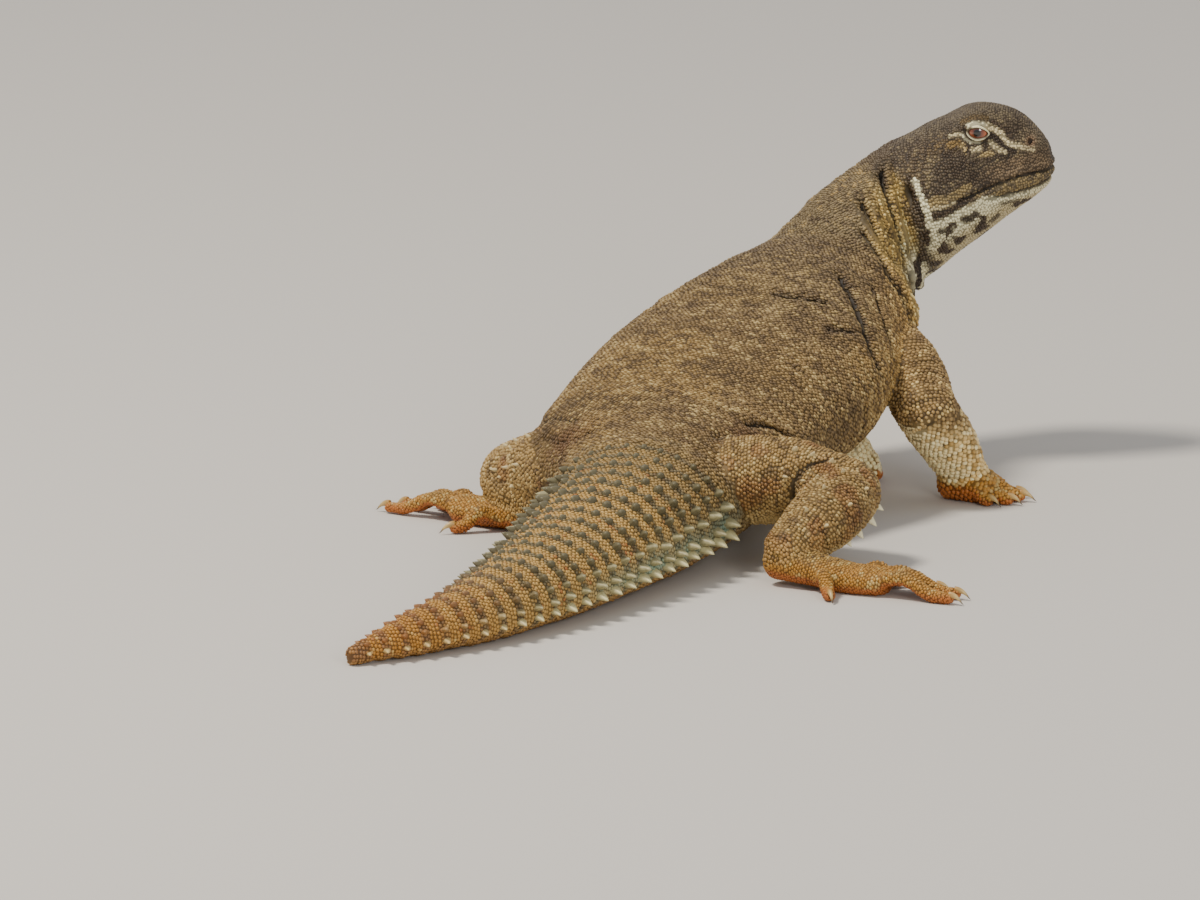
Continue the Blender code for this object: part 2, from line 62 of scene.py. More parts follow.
# Body line from the tail's tip to the neck: centre x, y, z, then half width, rise and drop of the section
BODY_STATIONS = (
    (-163, 1, 2.2, 1.8, 2.8, 2.2),
    (-148, -5, 3.6, 5.6, 6.6, 3.7),
    (-120, -11, 5.4, 10.8, 10.4, 6.0),
    (-85, -11, 7.2, 16.5, 14.0, 8.0),
    (-50, -7, 9.0, 21.5, 18.0, 10.0),
    (-22, -3, 11.0, 24.5, 21.0, 12.0),
    (2, 3, 16.0, 29.0, 21.5, 16.5),
    (17, 9, 20.5, 37.0, 21.5, 20.0),
    (36, 11.5, 26.5, 39.5, 21.0, 22.5),
    (64, 12.5, 33.0, 41.0, 23.0, 24.0),
    (88, 11.5, 40.5, 34.5, 24.0, 22.0),
    (107, 9.5, 49.0, 25.0, 21.0, 20.0),
    (122, 9.5, 60.0, 18.5, 17.4, 19.0),
)
TAIL_ROOT = 5
NECK_ROOT = 11

HEAD_BASE = np.array((139.3, 6.7, 71.2))
HEAD_YAW = math.radians(-65)
HEAD_PITCH = math.radians(15)
HEAD_POWER = 0.78
HEAD_SECTIONS = (
    (0.0, -4.0, 17.0, 18.2, 19.6),
    (5.0, -4.0, 18.0, 19.0, 17.6),
    (10.0, -3.5, 18.3, 20.0, 15.6),
    (15.0, -3.0, 17.2, 20.4, 14.0),
    (20.0, -2.5, 15.8, 20.8, 12.4),
    (25.0, -2.3, 13.8, 21.0, 10.4),
    (30.0, -2.2, 11.6, 19.6, 8.6),
    (34.0, -2.3, 9.8, 17.2, 7.0),
    (37.0, -2.3, 7.8, 14.0, 5.4),
    (39.4, -1.6, 5.4, 9.4, 4.0),
    (40.8, 0.0, 2.6, 4.0, 2.4),
)
MOUTH_LINE = ((16, -2.9), (21, -2.2), (26, -1.6), (32, -1.4), (36, -1.8), (39, -2.3), (44, -2.8))
JAW_LINE = ((20, -4.6), (25, -4.9), (31, -5.4), (36, -5.4), (40, -4.9))
EYE = np.array((24.4, 7.9, 12.8))
EYE_RADIUS = 3.7
EYE_TILT = math.radians(20)
NOSTRIL = np.array((36.9, 5.9, 6.2))
EAR = np.array((2.9, 17.3, 2.0))

# Swellings and hollows of the head's skin: how high, where in its own frame, and how far they reach
HEAD_SWELLS = (
    (-1.9, EAR, (1.2, 4, 2.9)),
    (0.5, EAR - (2.6, 0, 0), (1.2, 5, 3.6)),
    (0.35, NOSTRIL, (1.7, 3, 1.5)),
    (-1.9, NOSTRIL, (0.65, 2.4, 0.8)),
    (0.9, (23.0, 9.5, 17.2), (6.0, 3.5, 1.4)),
    (-0.7, (31.0, 9.0, 9.8), (3.0, 4.0, 2.0)),
    (0.45, (24.0, 12.5, 7.4), (6.5, 4.0, 1.4)),
    (-0.35, (24.5, 12.5, 9.3), (4.5, 4.0, 0.5)),
    (-0.5, (15.5, 12.0, 11.5), (4, 6, 3.5)),
    (-0.8, (-1.5, 17.0, -6.0), (1.6, 8.0, 12.0)),
)

FOLD_STANDS = 1.3
FOLD_STEP = 8.5
FOLD_SLANT = 9.0

WHORLS = 24
FIRST_WHORL = 5.0
WHORLS_PAST_ROOT = 12.0
WHORL_CROWDING = 1.08
WIDEST_TAIL = 24.0
SPINE_ARC = math.radians(104)
SPINE_HEIGHT = 4.6
SPINE_SPACING = 4.5

# Creases of the skin, each a line of places along the body and turns in degrees, then its width and its depth
CREASES = (
    (((263, 326), (254, 312), (245, 298), (241, 284)), 1.5, 1.8),
    (((243, 348), (245, 338), (248, 326)), 1.0, 1.1),
    (((238, 318), (245, 304)), 1.0, 1.0),
    (((268, 306), (258, 290), (252, 272)), 1.2, 1.1),
    (((314, 322), (312, 290), (311, 268), (307, 250)), 1.6, 2.2),
    (((300, 320), (297, 300), (293, 286), (302, 250)), 1.7, 2.4),
    (((290, 318), (288, 312), (279, 302), (278, 284), (276, 262)), 1.7, 2.3),
    (((306, 300), (303, 280), (306, 258)), 0.9, 1.0),
    (((316, 252), (310, 220), (308, 185)), 1.6, 2.0),
    (((303, 240), (300, 205), (299, 180)), 1.4, 1.7),
    (((292, 255), (289, 225), (288, 180)), 1.4, 1.6),
    (((167, 322), (171, 304), (178, 292), (184, 276)), 1.8, 1.3),
    (((178, 316), (184, 304), (190, 286)), 1.2, 0.9),
)

# The crease where the right shank lies against its thigh, from the knee to the ankle
THIGH_CREASE = ((9.5, -46.5), (-10.0, -31.0))

HIND_THICKNESS = (((13.0, 12.0), (12.0, 11.4), (9.6, 9.2)), ((9.6, 9.2), (9.8, 8.8), (6.4, 5.8)))
FORE_THICKNESS = (((10.0, 10.0), (9.4, 9.4), (8.6, 8.4)), ((8.6, 8.4), (8.8, 7.4), (7.2, 5.4)))
HIND_JOINTS = {
    "right": ((2, -13, 20), (9, -32, 21), (12, -48, 19), (-4, -50, 15), (-20, -48, 9.5)),
    "left": ((-2, 16, 20), (6, 36, 17.5), (12, 53, 12.5), (8, 46, 10.5), (3, 38.5, 8)),
}
FORE_JOINTS = {
    "right": ((100, -9, 38), (91, -22, 34), (82, -32, 27), (90, -34, 17), (97, -35, 8)),
    "left": ((103, 26, 38), (93, 32, 30), (84, 24, 24), (92, 3, 16), (96, -4, 6)),
}
BLUNT = 0.8
HIND_TOES = ((22, 5.0, 10, 26), (27, 3.2, 16, 11), (29, 0.4, 21, 3), (28, -2.8, 23, -5), (14, -4.6, 12, -55))
FORE_TOES = ((4, 3.8, 8, 27), (6, 2.6, 10, 14), (7, 0.2, 11, 3), (6, -2.4, 10, -9), (4, -3.8, 8, -24))
SOLE_SHAPE = ((0.0, 0.85, 1.3), (0.35, 0.95, 1.1), (0.7, 1.0, 1.0), (1.0, 1.0, 0.95))
HEEL_BEHIND = 2.0
HIND_SOLE = (6.2, 4.4, 29, 2.3, 5.6, 2.4)
FORE_SOLE = (6.8, 5.2, 8, 2.2, 4.6, 0.6)
HIND_HEADING = {"right": math.radians(-84), "left": math.radians(81)}
FORE_HEADING = {"right": math.radians(-76), "left": math.radians(42)}
CLAW_LENGTH = 4.6
CLAW_RADIUS = 1.15

# Colours of the skin and the coat
UMBER = np.array((0.040, 0.024, 0.011))
BROWN = np.array((0.150, 0.089, 0.030))
SLATE = np.array((0.105, 0.074, 0.040))
SMOKE = np.array((0.165, 0.122, 0.068))
MOSS = np.array((0.175, 0.132, 0.060))
OLIVE = np.array((0.285, 0.176, 0.060))
OCHRE = np.array((0.470, 0.285, 0.078))
STRAW = np.array((0.640, 0.455, 0.180))
CREAM = np.array((0.800, 0.660, 0.360))
CHALK = np.array((1.000, 0.910, 0.570))
RUST = np.array((0.330, 0.120, 0.026))
ORANGE = np.array((0.560, 0.275, 0.045))
ROSE = np.array((0.260, 0.158, 0.086))
TEAL = np.array((0.230, 0.320, 0.220))
IRIS = np.array((0.16, 0.034, 0.014))
IRIS_EDGE = np.array((0.42, 0.10, 0.03))
IRIS_FRONT = np.array((0.55, 0.13, 0.035))
EYE_RIM = np.array((0.05, 0.015, 0.01))
PUPIL = np.array((0.004, 0.003, 0.003))

# Strokes of colour on the head's sides: points ahead and up, width, colour, strength and raggedness
HEAD_STROKES = (
    (((20.8, 16.4), (24.4, 16.6), (27.6, 15.6)), 0.7, OCHRE * 0.26, 0.8),
    (((22.6, 15.2), (24.4, 15.3), (26.2, 14.8), (27.8, 13.4)), 0.7, CHALK * 0.95, 0.9, 0.5),
    (((20.4, 13.4), (20.8, 12.0), (22.0, 10.9), (24.4, 10.2)), 0.5, CHALK * 0.85, 0.8, 0.5),
    (((27.2, 13.6), (28.9, 12.4), (30.2, 10.7), (30.8, 8.5), (32.8, 6.8), (34.6, 5.8)), 1.0, CREAM),
    (((34.6, 5.8), (37.2, 4.2)), 0.9, CREAM * 0.8, 0.8),
    (((28.8, 14.0), (31.5, 11.6), (32.5, 9.0)), 0.9, UMBER * 1.6, 0.8),
    (((27.3, 11.3), (28.8, 10.0), (30.5, 7.0), (32.6, 5.0)), 1.0, UMBER * 1.1),
    (((27.0, 9.4), (28.5, 7.4), (30.1, 5.9)), 0.8, CREAM * 0.8, 0.9),
    (((22.2, 8.9), (24.3, 8.5)), 0.8, CREAM * 0.95, 0.95),
    (((24.4, 6.9), (27.0, 6.6)), 0.8, STRAW * 0.8, 0.8),
    (((19.8, 11.0), (20.4, 9.0)), 0.8, STRAW, 0.75),
    (((16.8, 13.8), (20.0, 13.6)), 0.55, CREAM * 0.9, 0.85),
    (((16.5, 11.6), (19.0, 11.6)), 0.9, OCHRE * 0.6, 0.7),
    (((20.0, 5.6), (24.0, 5.4), (31.0, 4.8)), 0.8, UMBER * 1.4, 0.6, 1.2),
    (((8.6, -0.6), (13.5, -1.0), (16.4, -0.6), (19.4, -0.3)), 1.0, STRAW * 0.55, 0.75, 2.0),
    (((8.6, -1.8), (12.4, -2.2)), 0.8, STRAW * 0.8, 0.7, 1.6),
    (((8.2, -4.6), (12.2, -4.5), (15.6, -3.9), (18.6, -3.2)), 0.9, UMBER * 1.5, 0.8),
    (((8.8, -2.9), (11.6, -3.2), (14.0, -2.9)), 0.6, CREAM * 0.8, 0.8, 2.0),
    (((6.6, -6.9), (9.3, -7.4), (12.3, -7.0), (15.7, -6.3), (18.9, -5.3), (21.6, -4.6), (24.3, -5.2)),
     1.4, CHALK, 1.0, 0.7),
    (((15.6, -8.0), (17.4, -8.4), (18.9, -7.7)), 0.85, UMBER * 1.3, 0.95, 1.4),
    (((19.6, -8.6), (20.8, -9.6)), 0.7, UMBER * 1.4, 0.9, 1.4),
    (((11.6, -8.0), (13.0, -8.5)), 0.6, UMBER * 1.6, 0.9, 1.4),
    (((8.8, -9.4), (11.6, -10.2)), 0.9, UMBER * 1.4, 0.9, 1.0),
    (((22.0, -11.2), (24.0, -10.0)), 0.8, UMBER * 1.4, 0.8, 1.0),
    (((25.8, -7.2), (28.6, -7.2)), 0.6, UMBER * 1.5, 0.8, 1.0),
    (((4.0, 3.0), (4.9, -1.0), (5.4, -4.6)), 0.75, UMBER * 1.2, 0.9),
    (((5.6, 5.2), (6.1, 3.0), (6.5, 0.5), (6.9, -2.1), (7.2, -4.3), (6.6, -6.6)), 1.05, CHALK, 1.0, 0.5),
)

# Each region's scales, as shares of the spacing of their roots: how far they stand, their length along the
# body, their width across it, and how far roots stray from their row's even steps
SCALES = {
    "tail": (0.30, 0.95, 1.05, 0.08),
    "trunk": (0.34, 0.84, 1.28, 0.14),
    "neck": (0.40, 0.92, 1.12, 0.14),
    "head": (0.24, 0.98, 1.02, 0.20),
    "hindleg": (0.36, 0.92, 1.12, 0.14),
    "foreleg": (0.36, 0.95, 1.12, 0.08),
    "foot": (0.28, 0.88, 1.20, 0.08),
}
REGIONS = tuple(SCALES)
STANDS, LONG, WIDE, STRAYS = (dict(zip(REGIONS, column)) for column in zip(*SCALES.values()))
LIMB_SPACING = {"hindleg": 1.08, "foreleg": 1.12, "foot": 0.92}


def unit(v):
    return v / np.linalg.norm(v)


def unit_rows(v):
    return v / np.maximum(np.linalg.norm(v, axis=1, keepdims=True), 1e-9)


class Line:
    """A smooth line through stations, each a centre x, y, z followed by the sizes of the section there."""

    def __init__(self, stations):
        self.rows = np.array(stations, float)
        steps = np.linalg.norm(np.diff(self.rows[:, :3], axis=0), axis=1)
        self.places = np.concatenate([[0.0], np.cumsum(steps)])
        self.slopes = np.gradient(self.rows, self.places, axis=0)

    def at(self, place):
        i = int(np.clip(np.searchsorted(self.places, place) - 1, 0, len(self.places) - 2))
        width = self.places[i + 1] - self.places[i]
        s = (place - self.places[i]) / width
        a, b = self.rows[i], self.rows[i + 1]
        m, n = self.slopes[i] * width, self.slopes[i + 1] * width
        bend, twist = 3 * (b - a) - 2 * m - n, 2 * (a - b) + m + n
        row = a + s * (m + s * (bend + s * twist))
        slope = (m + s * (2 * bend + 3 * s * twist)) / width
        return row, slope

    def frame(self, place, left=None):
        row, slope = self.at(place)
        forward = unit(slope[:3])
        across = unit(np.cross(UP, forward) if left is None else left - forward * left.dot(forward))
        return row[:3], forward, across, np.cross(forward, across), row[3:]


def head_turn():
    """The turn from the head's own frame, ahead, left and up, to the body's."""
    return np.array(Matrix.Rotation(HEAD_YAW, 3, "Z") @ Matrix.Rotation(-HEAD_PITCH, 3, "Y"))


HEAD_TURN = head_turn()


def from_head(points):
    return HEAD_BASE + np.asarray(points) @ HEAD_TURN.T


def to_head(points):
    return (points - HEAD_BASE) @ HEAD_TURN


def head_station(ahead):
    lift, half, rise, drop = (
        np.interp(ahead, [row[0] for row in HEAD_SECTIONS], [row[k] for row in HEAD_SECTIONS])
        for k in (1, 2, 3, 4)
    )
    return (*from_head((ahead, 0, lift)), half, rise, drop)


BODY = Line(BODY_STATIONS + (head_station(0),))
NECK_START = BODY.places[NECK_ROOT]
NECK_END = BODY.places[-1]
TAIL_END = BODY.places[TAIL_ROOT]


def slerp(a, b, share):
    angle = math.acos(float(np.clip(a.dot(b), -1, 1)))
    return (a * math.sin((1 - share) * angle) + b * math.sin(share * angle)) / math.sin(angle)


def neck_share(place):
    """How far along the neck a place is, from 0 at its root to 1 at the head."""
    return min(max((place - NECK_START) / (NECK_END - NECK_START), 0.0), 1.0)


def body_frame(place):
    """The frame of a section of the body, where the neck's sections turn evenly towards the head's base."""
    centre, forward, left, up, sizes = BODY.frame(place)
    if place > NECK_START:
        share = (place - NECK_START) / (NECK_END - NECK_START)
        forward = slerp(BODY.frame(NECK_START)[1], HEAD_TURN[:, 0], share)
        left = unit(np.cross(UP, forward))
        up = np.cross(forward, left)
    return centre, forward, left, up, sizes


def section(centre, left, up, sizes, turns, power=1.0):
    """Points round one section, each turn measured from its top towards the left."""
    half, rise, drop = sizes
    s, c = np.sin(turns), np.cos(turns)
    across = half * np.sign(s) * np.abs(s) ** power
    height = np.where(c > 0, rise, drop) * np.sign(c) * np.abs(c) ** power
    return centre + across[:, None] * left + height[:, None] * up


def neck_folds(place, turns):
    """How far the loose folds stand out round the neck, largest below and halfway along."""
    below = 0.5 - 0.5 * np.cos(turns)
    wave = np.cos(TURN * (place - NECK_START + FOLD_SLANT * below) / FOLD_STEP)
    return FOLD_STANDS * below * math.sin(math.pi * neck_share(place)) * wave


def body_ring(place, turns, grow):
    centre, _, left, up, sizes = body_frame(place)
    power = 1.0 + (HEAD_POWER - 1.0) * neck_share(place)
    points = section(centre, left, up, sizes + grow, turns, power)
    return points + unit_rows(points - centre) * neck_folds(place, turns)[:, None]


HEAD_LINE = Line([(row[0], 0, row[1], *row[2:]) for row in HEAD_SECTIONS])


def head_ring(ahead, turns, grow):
    """One section of the head, with its cheeks, brows and temples, in the body's frame."""
    row, _ = HEAD_LINE.at(np.interp(ahead, HEAD_LINE.rows[:, 0], HEAD_LINE.places))
    centre, left = np.array((ahead, 0, row[2])), np.array((0, 1.0, 0))
    points = section(centre, left, UP, row[3:] + grow, turns, HEAD_POWER)
    x, y, z = points.T
    cheek = np.exp(-(((x - 7) / 6) ** 2) - ((z + 5) / 7) ** 2)
    brow = np.exp(-(((x - 21) / 5) ** 2) - ((z - 15) / 3.5) ** 2)
    temple = np.exp(-(((x - 10) / 5) ** 2) - ((z - 9) / 4) ** 2)
    shift = 1.4 * cheek + 1.3 * brow - 1.0 * temple
    points[:, 1] += np.sign(y) * shift * np.minimum(1.0, np.abs(y) / 5)
    return from_head(points)


class Form:
    """A closed form through rings of points, kept so that scales can follow it."""

    def __init__(self, name, region, rings, places, ends, lie):
        self.name, self.region, self.lie = name, region, lie
        self.rings, self.places, self.ends = np.array(rings), places, ends


def body_form(grow=0.0, step=1.0, sides=112):
    turns = np.arange(sides) * TURN / sides
    places = np.arange(0, NECK_END, step)
    rings = [body_ring(place, turns, grow) for place in places]
    reach = HEAD_SECTIONS[-1][0]
    ahead = reach * np.sin(0.5 * math.pi * np.linspace(0.0, 1.0, 64)) ** 0.85
    rings += [head_ring(a, turns, grow) for a in ahead]
    every = np.concatenate([places, NECK_END + ahead])
    ends = (rings[0].mean(axis=0), rings[-1].mean(axis=0) + HEAD_TURN[:, 0] * (0.5 + grow))
    return Form("body", "body", rings, every, ends, -1)


def rounded(name, region, stations, sides, left=None, grow=0.0, steps=24, power=1.0):
    """A limb through stations with half width and half thickness, round at both ends."""
    line = Line([(*row[:3], row[3], row[4], row[4]) for row in stations])
    length = line.places[-1]
    turns = (np.arange(sides) + 0.5) * TURN / sides
    rings, tips, places = [], [], []
    angles = (80, 65, 50, 36, 22, 10)
    for end, sign in ((0.0, -1), (length, 1)):
        centre, forward, across, up, sizes = line.frame(end, left)
        size = float(min(sizes)) + grow
        tips.append(centre + forward * sign * size * BLUNT)
        cap, marks = [], []
        for angle in angles:
            bulge = math.sin(math.radians(angle)) * size * BLUNT
            shrink = math.cos(math.radians(angle))
            middle = centre + forward * sign * bulge
            cap.append(section(middle, across, up, (sizes + grow) * shrink, turns, power))
            marks.append(end + sign * bulge)
        if sign < 0:
            rings += cap
            places += marks
            for place in np.linspace(0, length, steps):
                centre, _, across, up, sizes = line.frame(place, left)
                rings.append(section(centre, across, up, sizes + grow, turns, power))
                places.append(place)
        else:
            rings += cap[::-1]
            places += marks[::-1]
    return Form(name, region, rings, np.array(places), tips, 1)


def leg_forms(name, region, joints, thickness, grow):
    made = []
    for first, sizes, part in ((0, thickness[0], "upper"), (2, thickness[1], "lower")):
        stations = [(*joints[first + k], *sizes[k]) for k in range(3)]
        axis = np.array(joints[first + 2], float) - np.array(joints[first], float)
        made.append(rounded(f"{name}_{part}", region, stations, 40, unit(np.cross(axis, UP)), grow))
    return made


def toe_stations(start, direction, length, radius, knuckle):
    """A toe from its root over a raised knuckle down to its tip."""
    bend, near, tip = (start + direction * length * share for share in (0.4, 0.8, 1.0))
    return (
        (*start, radius * 1.15, radius * 1.1),
        (bend[0], bend[1], knuckle, radius * 1.05, radius),
        (near[0], near[1], radius * 0.8, radius * 0.95, radius * 0.95),
        (tip[0], tip[1], radius * 0.7, radius * 0.85, radius * 0.85),
    )


def foot_forms(name, ankle, heading, toes, sole, side, grow):
    """The foot and its toes, and the root and way of each claw."""
    half, rise, length, radius, knuckle, lift = sole
    ahead = np.array((math.cos(heading), math.sin(heading), 0))
    inward = np.array((-ahead[1], ahead[0], 0)) * -side
    heel = np.array((ankle[0], ankle[1], 0)) - ahead * HEEL_BEHIND
    stations = []
    for share, wide, high in SOLE_SHAPE:
        raised = rise * high * 0.8 + lift * max(0.0, 1 - share / 0.7)
        centre = heel + ahead * length * share + UP * raised
        stations.append((*centre, half * wide, rise * high))
    made = [rounded(f"{name}_sole", "foot", stations, 40, np.cross(UP, ahead), grow, 20)]
    claws = []
    for k, (along, across, reach, spread) in enumerate(toes):
        start = heel + ahead * along + inward * across + UP * rise * 0.8
        turn = math.radians(spread)
        direction = ahead * math.cos(turn) + inward * math.sin(turn)
        stations = toe_stations(start, direction, reach, radius, knuckle)
        made.append(rounded(f"{name}_toe_{k}", "foot", stations, 24, np.cross(UP, direction), grow, 16))
        tip = start + direction * reach
        claws.append((tip + UP * (radius * 1.1 - tip[2]) + direction * radius * 0.2, direction, radius))
    return made, claws


def every_form(grow):
    """Every closed form of the flesh, grown or shrunk by grow, and the roots of the claws."""
    forms, claws = [body_form(grow)], {}
    for kind, joints_of, thickness, toes, sole, headings in (
        ("hind", HIND_JOINTS, HIND_THICKNESS, HIND_TOES, HIND_SOLE, HIND_HEADING),
        ("fore", FORE_JOINTS, FORE_THICKNESS, FORE_TOES, FORE_SOLE, FORE_HEADING),
    ):
        for hand, side in (("right", -1), ("left", 1)):
            joints = joints_of[hand]
            forms += leg_forms(f"{kind}leg_{hand}", f"{kind}leg", joints, thickness, grow)
            name = f"{kind}foot_{hand}"
            made, claws[name] = foot_forms(name, joints[4], headings[hand], toes, sole, side, grow)
            forms += made
    return forms, claws


# ---- meshes from arrays ----


def eye_shift():
    """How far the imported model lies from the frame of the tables, read off its right eye."""
    low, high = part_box("eye_right")
    return (np.array(low) + np.array(high)) / 2 / MM - from_head(EYE * (1, -1, 1))


SHIFT = eye_shift()


def mesh_object(name, points, faces, colours=None, uvs=None, smooth=True):
    """An object at the origin from points in millimetres and triangles, or faces of equal size."""
    faces = np.asarray(faces, np.int32)
    mesh = bpy.data.meshes.new(name)
    mesh.vertices.add(len(points))
    mesh.vertices.foreach_set("co", ((np.asarray(points) + SHIFT) * MM).astype(np.float32).ravel())
    corners = faces.shape[1]
    mesh.loops.add(faces.size)
    mesh.loops.foreach_set("vertex_index", faces.ravel())
    mesh.polygons.add(len(faces))
    mesh.polygons.foreach_set("loop_start", np.arange(0, faces.size, corners, dtype=np.int32))
    mesh.polygons.foreach_set("loop_total", np.full(len(faces), corners, np.int32))
    mesh.update(calc_edges=True)
    mesh.polygons.foreach_set("use_smooth", np.full(len(faces), smooth))
    if colours is not None:
        paint(mesh, colours)
    if uvs is not None:
        layer = mesh.uv_layers.new(name="OFBake")
        layer.data.foreach_set("uv", uvs[faces.ravel()].astype(np.float32).ravel())
    obj = bpy.data.objects.new(name, mesh)
    bpy.context.scene.collection.objects.link(obj)
    return obj


def paint(mesh, colours):
    layer = mesh.color_attributes.new(name="marking", type="FLOAT_COLOR", domain="POINT")
    full = np.ones((len(colours), 4), np.float32)
    full[:, :3] = colours
    layer.data.foreach_set("color", full.ravel())


def loft(form):
    rings = form.rings
    count, sides = rings.shape[:2]
    points = np.vstack([rings.reshape(-1, 3), form.ends[0], form.ends[1]])
    k = np.arange(sides)
    nxt = (k + 1) % sides
    faces = []
    for i in range(count - 1):
        a, b = i * sides + k, i * sides + nxt
        faces.append(np.column_stack([a, a + sides, b + sides]))
        faces.append(np.column_stack([a, b + sides, b]))
    first, last, tail = count * sides, count * sides + 1, (count - 1) * sides
    faces.append(np.column_stack([np.full(sides, first), k, nxt]))
    faces.append(np.column_stack([np.full(sides, last), tail + nxt, tail + k]))
    return mesh_object(form.name, points, np.vstack(faces))


def choose(*objects):
    """Selects only these objects, the first of them active."""
    bpy.ops.object.select_all(action="DESELECT")
    for obj in objects:
        obj.select_set(True)
    bpy.context.view_layer.objects.active = objects[0]


def points_of(obj):
    co = np.empty(len(obj.data.vertices) * 3, np.float32)
    obj.data.vertices.foreach_get("co", co)
    return co.reshape(-1, 3).astype(float) / MM - SHIFT


def set_points(obj, points):
    obj.data.vertices.foreach_set("co", ((points + SHIFT) * MM).astype(np.float32).ravel())
    obj.data.update()


def normals_of(obj):
    out = np.empty(len(obj.data.vertices) * 3, np.float32)
    obj.data.vertices.foreach_get("normal", out)
    return out.reshape(-1, 3).astype(float)


def triangles_of(obj):
    out = np.empty(len(obj.data.polygons) * 3, np.int32)
    obj.data.polygons.foreach_get("vertices", out)
    return out.reshape(-1, 3)


def soft_noise(points, size, seed):
    """Smooth noise from 0 to 1 at points, its lumps about this many millimetres across."""
    table = np.random.default_rng(seed).random((32, 32, 32))
    spot = points / size
    low = np.floor(spot).astype(int)
    t = spot - low
    t = t * t * (3 - 2 * t)
    total = np.zeros(len(points))
    for corner in itertools.product((0, 1), repeat=3):
        weight = np.prod(np.where(corner, t, 1 - t), axis=1)
        index = (low + corner) % 32
        total += weight * table[index[:, 0], index[:, 1], index[:, 2]]
    return total


def make_skin(forms):
    """One closed skin: every form joined, remade as one surface and thinned where it is broad."""
    pieces = [loft(form) for form in forms]
    choose(*pieces)
    bpy.ops.object.join()
    skin = bpy.context.active_object
    skin.name = skin.data.name = "skin"
    remesh = skin.modifiers.new("whole", "REMESH")
    remesh.mode = "VOXEL"
    remesh.voxel_size = SKIN_VOXEL * MM
    bpy.ops.object.modifier_apply(modifier="whole")
    smooth = skin.modifiers.new("ease", "SMOOTH")
    smooth.factor = 0.5
    smooth.iterations = 5
    bpy.ops.object.modifier_apply(modifier="ease")
    points = points_of(skin)
    fine = np.exp(-((np.linalg.norm(points - from_head((26, 0, 4)), axis=1) / 26) ** 4))
    group = skin.vertex_groups.new(name="broad")
    weights = 1 - fine
    for level in range(11):
        chosen = np.flatnonzero(np.round(weights * 10) == level)
        group.add(chosen.tolist(), level / 10, "REPLACE")
    thin = skin.modifiers.new("thin", "DECIMATE")
    thin.ratio = min(1.0, SKIN_TRIANGLES / (2 * len(skin.data.polygons)))
    thin.vertex_group = "broad"
    thin.use_collapse_triangulate = True
    bpy.ops.object.modifier_apply(modifier="thin")
    skin.vertex_groups.clear()
    skin.data.polygons.foreach_set("use_smooth", np.full(len(skin.data.polygons), True))
    return skin


# ---- where things are on the body ----


def region_at(place):
    """The region of the body's own form at these places."""
    region = np.full(len(place), REGIONS.index("trunk"))
    region[place < TAIL_END + 8] = REGIONS.index("tail")
    region[place > NECK_START] = REGIONS.index("neck")
    region[place > NECK_END] = REGIONS.index("head")
    return region


def body_spacing(place):
    """The spacing of the roots along the tail, trunk, neck and head, smallest at the snout."""
    marks = (0, TAIL_END, TAIL_END + 20, NECK_START, NECK_END + 2, NECK_END + 16, NECK_END + 41)
    sizes = (1.08, 1.22, 1.04, 1.02, 0.94, 0.82, 0.74)
    return float(np.interp(place, marks, sizes))


def limb_spacing(form, share):
    """The spacing of the scales on a leg or foot, largest at the wrist and on the hand."""
    if form.name.startswith("foreleg") and form.name.endswith("lower"):
        return 1.15 + 0.4 * share
    if form.name.startswith("forefoot"):
        return 1.45 if form.name.endswith("sole") else 1.1
    return LIMB_SPACING[form.region]


def lattice(form, number):
    """Roots in rows round a form, with where each is on it and the way that its scale lies."""
    steps = np.linalg.norm(np.diff(form.rings, axis=0), axis=2).mean(axis=1)
    along = np.concatenate([[0.0], np.cumsum(steps)])
    sides = form.rings.shape[1]
    around = np.linspace(0, TURN, sides + 1)
    at, row, found = 0.2, 0, []
    random = np.random.default_rng(700 + number)
    while at < along[-1]:
        i = int(np.clip(np.searchsorted(along, at) - 1, 0, len(along) - 2))
        t = (at - along[i]) / max(along[i + 1] - along[i], 1e-9)
        low, high = form.rings[i], form.rings[i + 1]
        ring = low * (1 - t) + high * t
        place = form.places[i] * (1 - t) + form.places[i + 1] * t
        on_body = form.region == "body"
        region = REGIONS[region_at(np.array([place]))[0]] if on_body else form.region
        gap = body_spacing(place) if on_body else limb_spacing(form, at / along[-1])
        closed, lies = np.vstack([ring, ring[:1]]), (high - low) * form.lie
        lies = np.vstack([lies, lies[:1]])
        arc = np.concatenate([[0.0], np.cumsum(np.linalg.norm(np.diff(closed, axis=0), axis=1))])
        count = max(4, round(arc[-1] / (gap * WIDE[region])))
        stray = random.normal(0, STRAYS[region], count)
        marks = (np.arange(count) + 0.5 * (row % 2) + stray) * arc[-1] / count % arc[-1]
        columns = [np.interp(marks, arc, closed[:, k]) for k in range(3)]
        columns += [np.interp(marks, arc, lies[:, k]) for k in range(3)]
        columns += [np.full(count, place), np.interp(marks, arc, around), np.full(count, gap)]
        columns += [np.full(count, number), np.full(count, at / along[-1])]
        found.append(np.column_stack(columns))
        at += gap * 0.87 * LONG[region]
        row += 1
    table = np.vstack(found)
    way = unit_rows(table[:, 3:6])
    drift = 1.3 * (soft_noise(table[:, :3], 6, 8) - 0.5) + random.normal(0, 0.10, len(table))
    table[:, :3] += way * drift[:, None]
    table[:, 6] += drift * form.lie
    return table


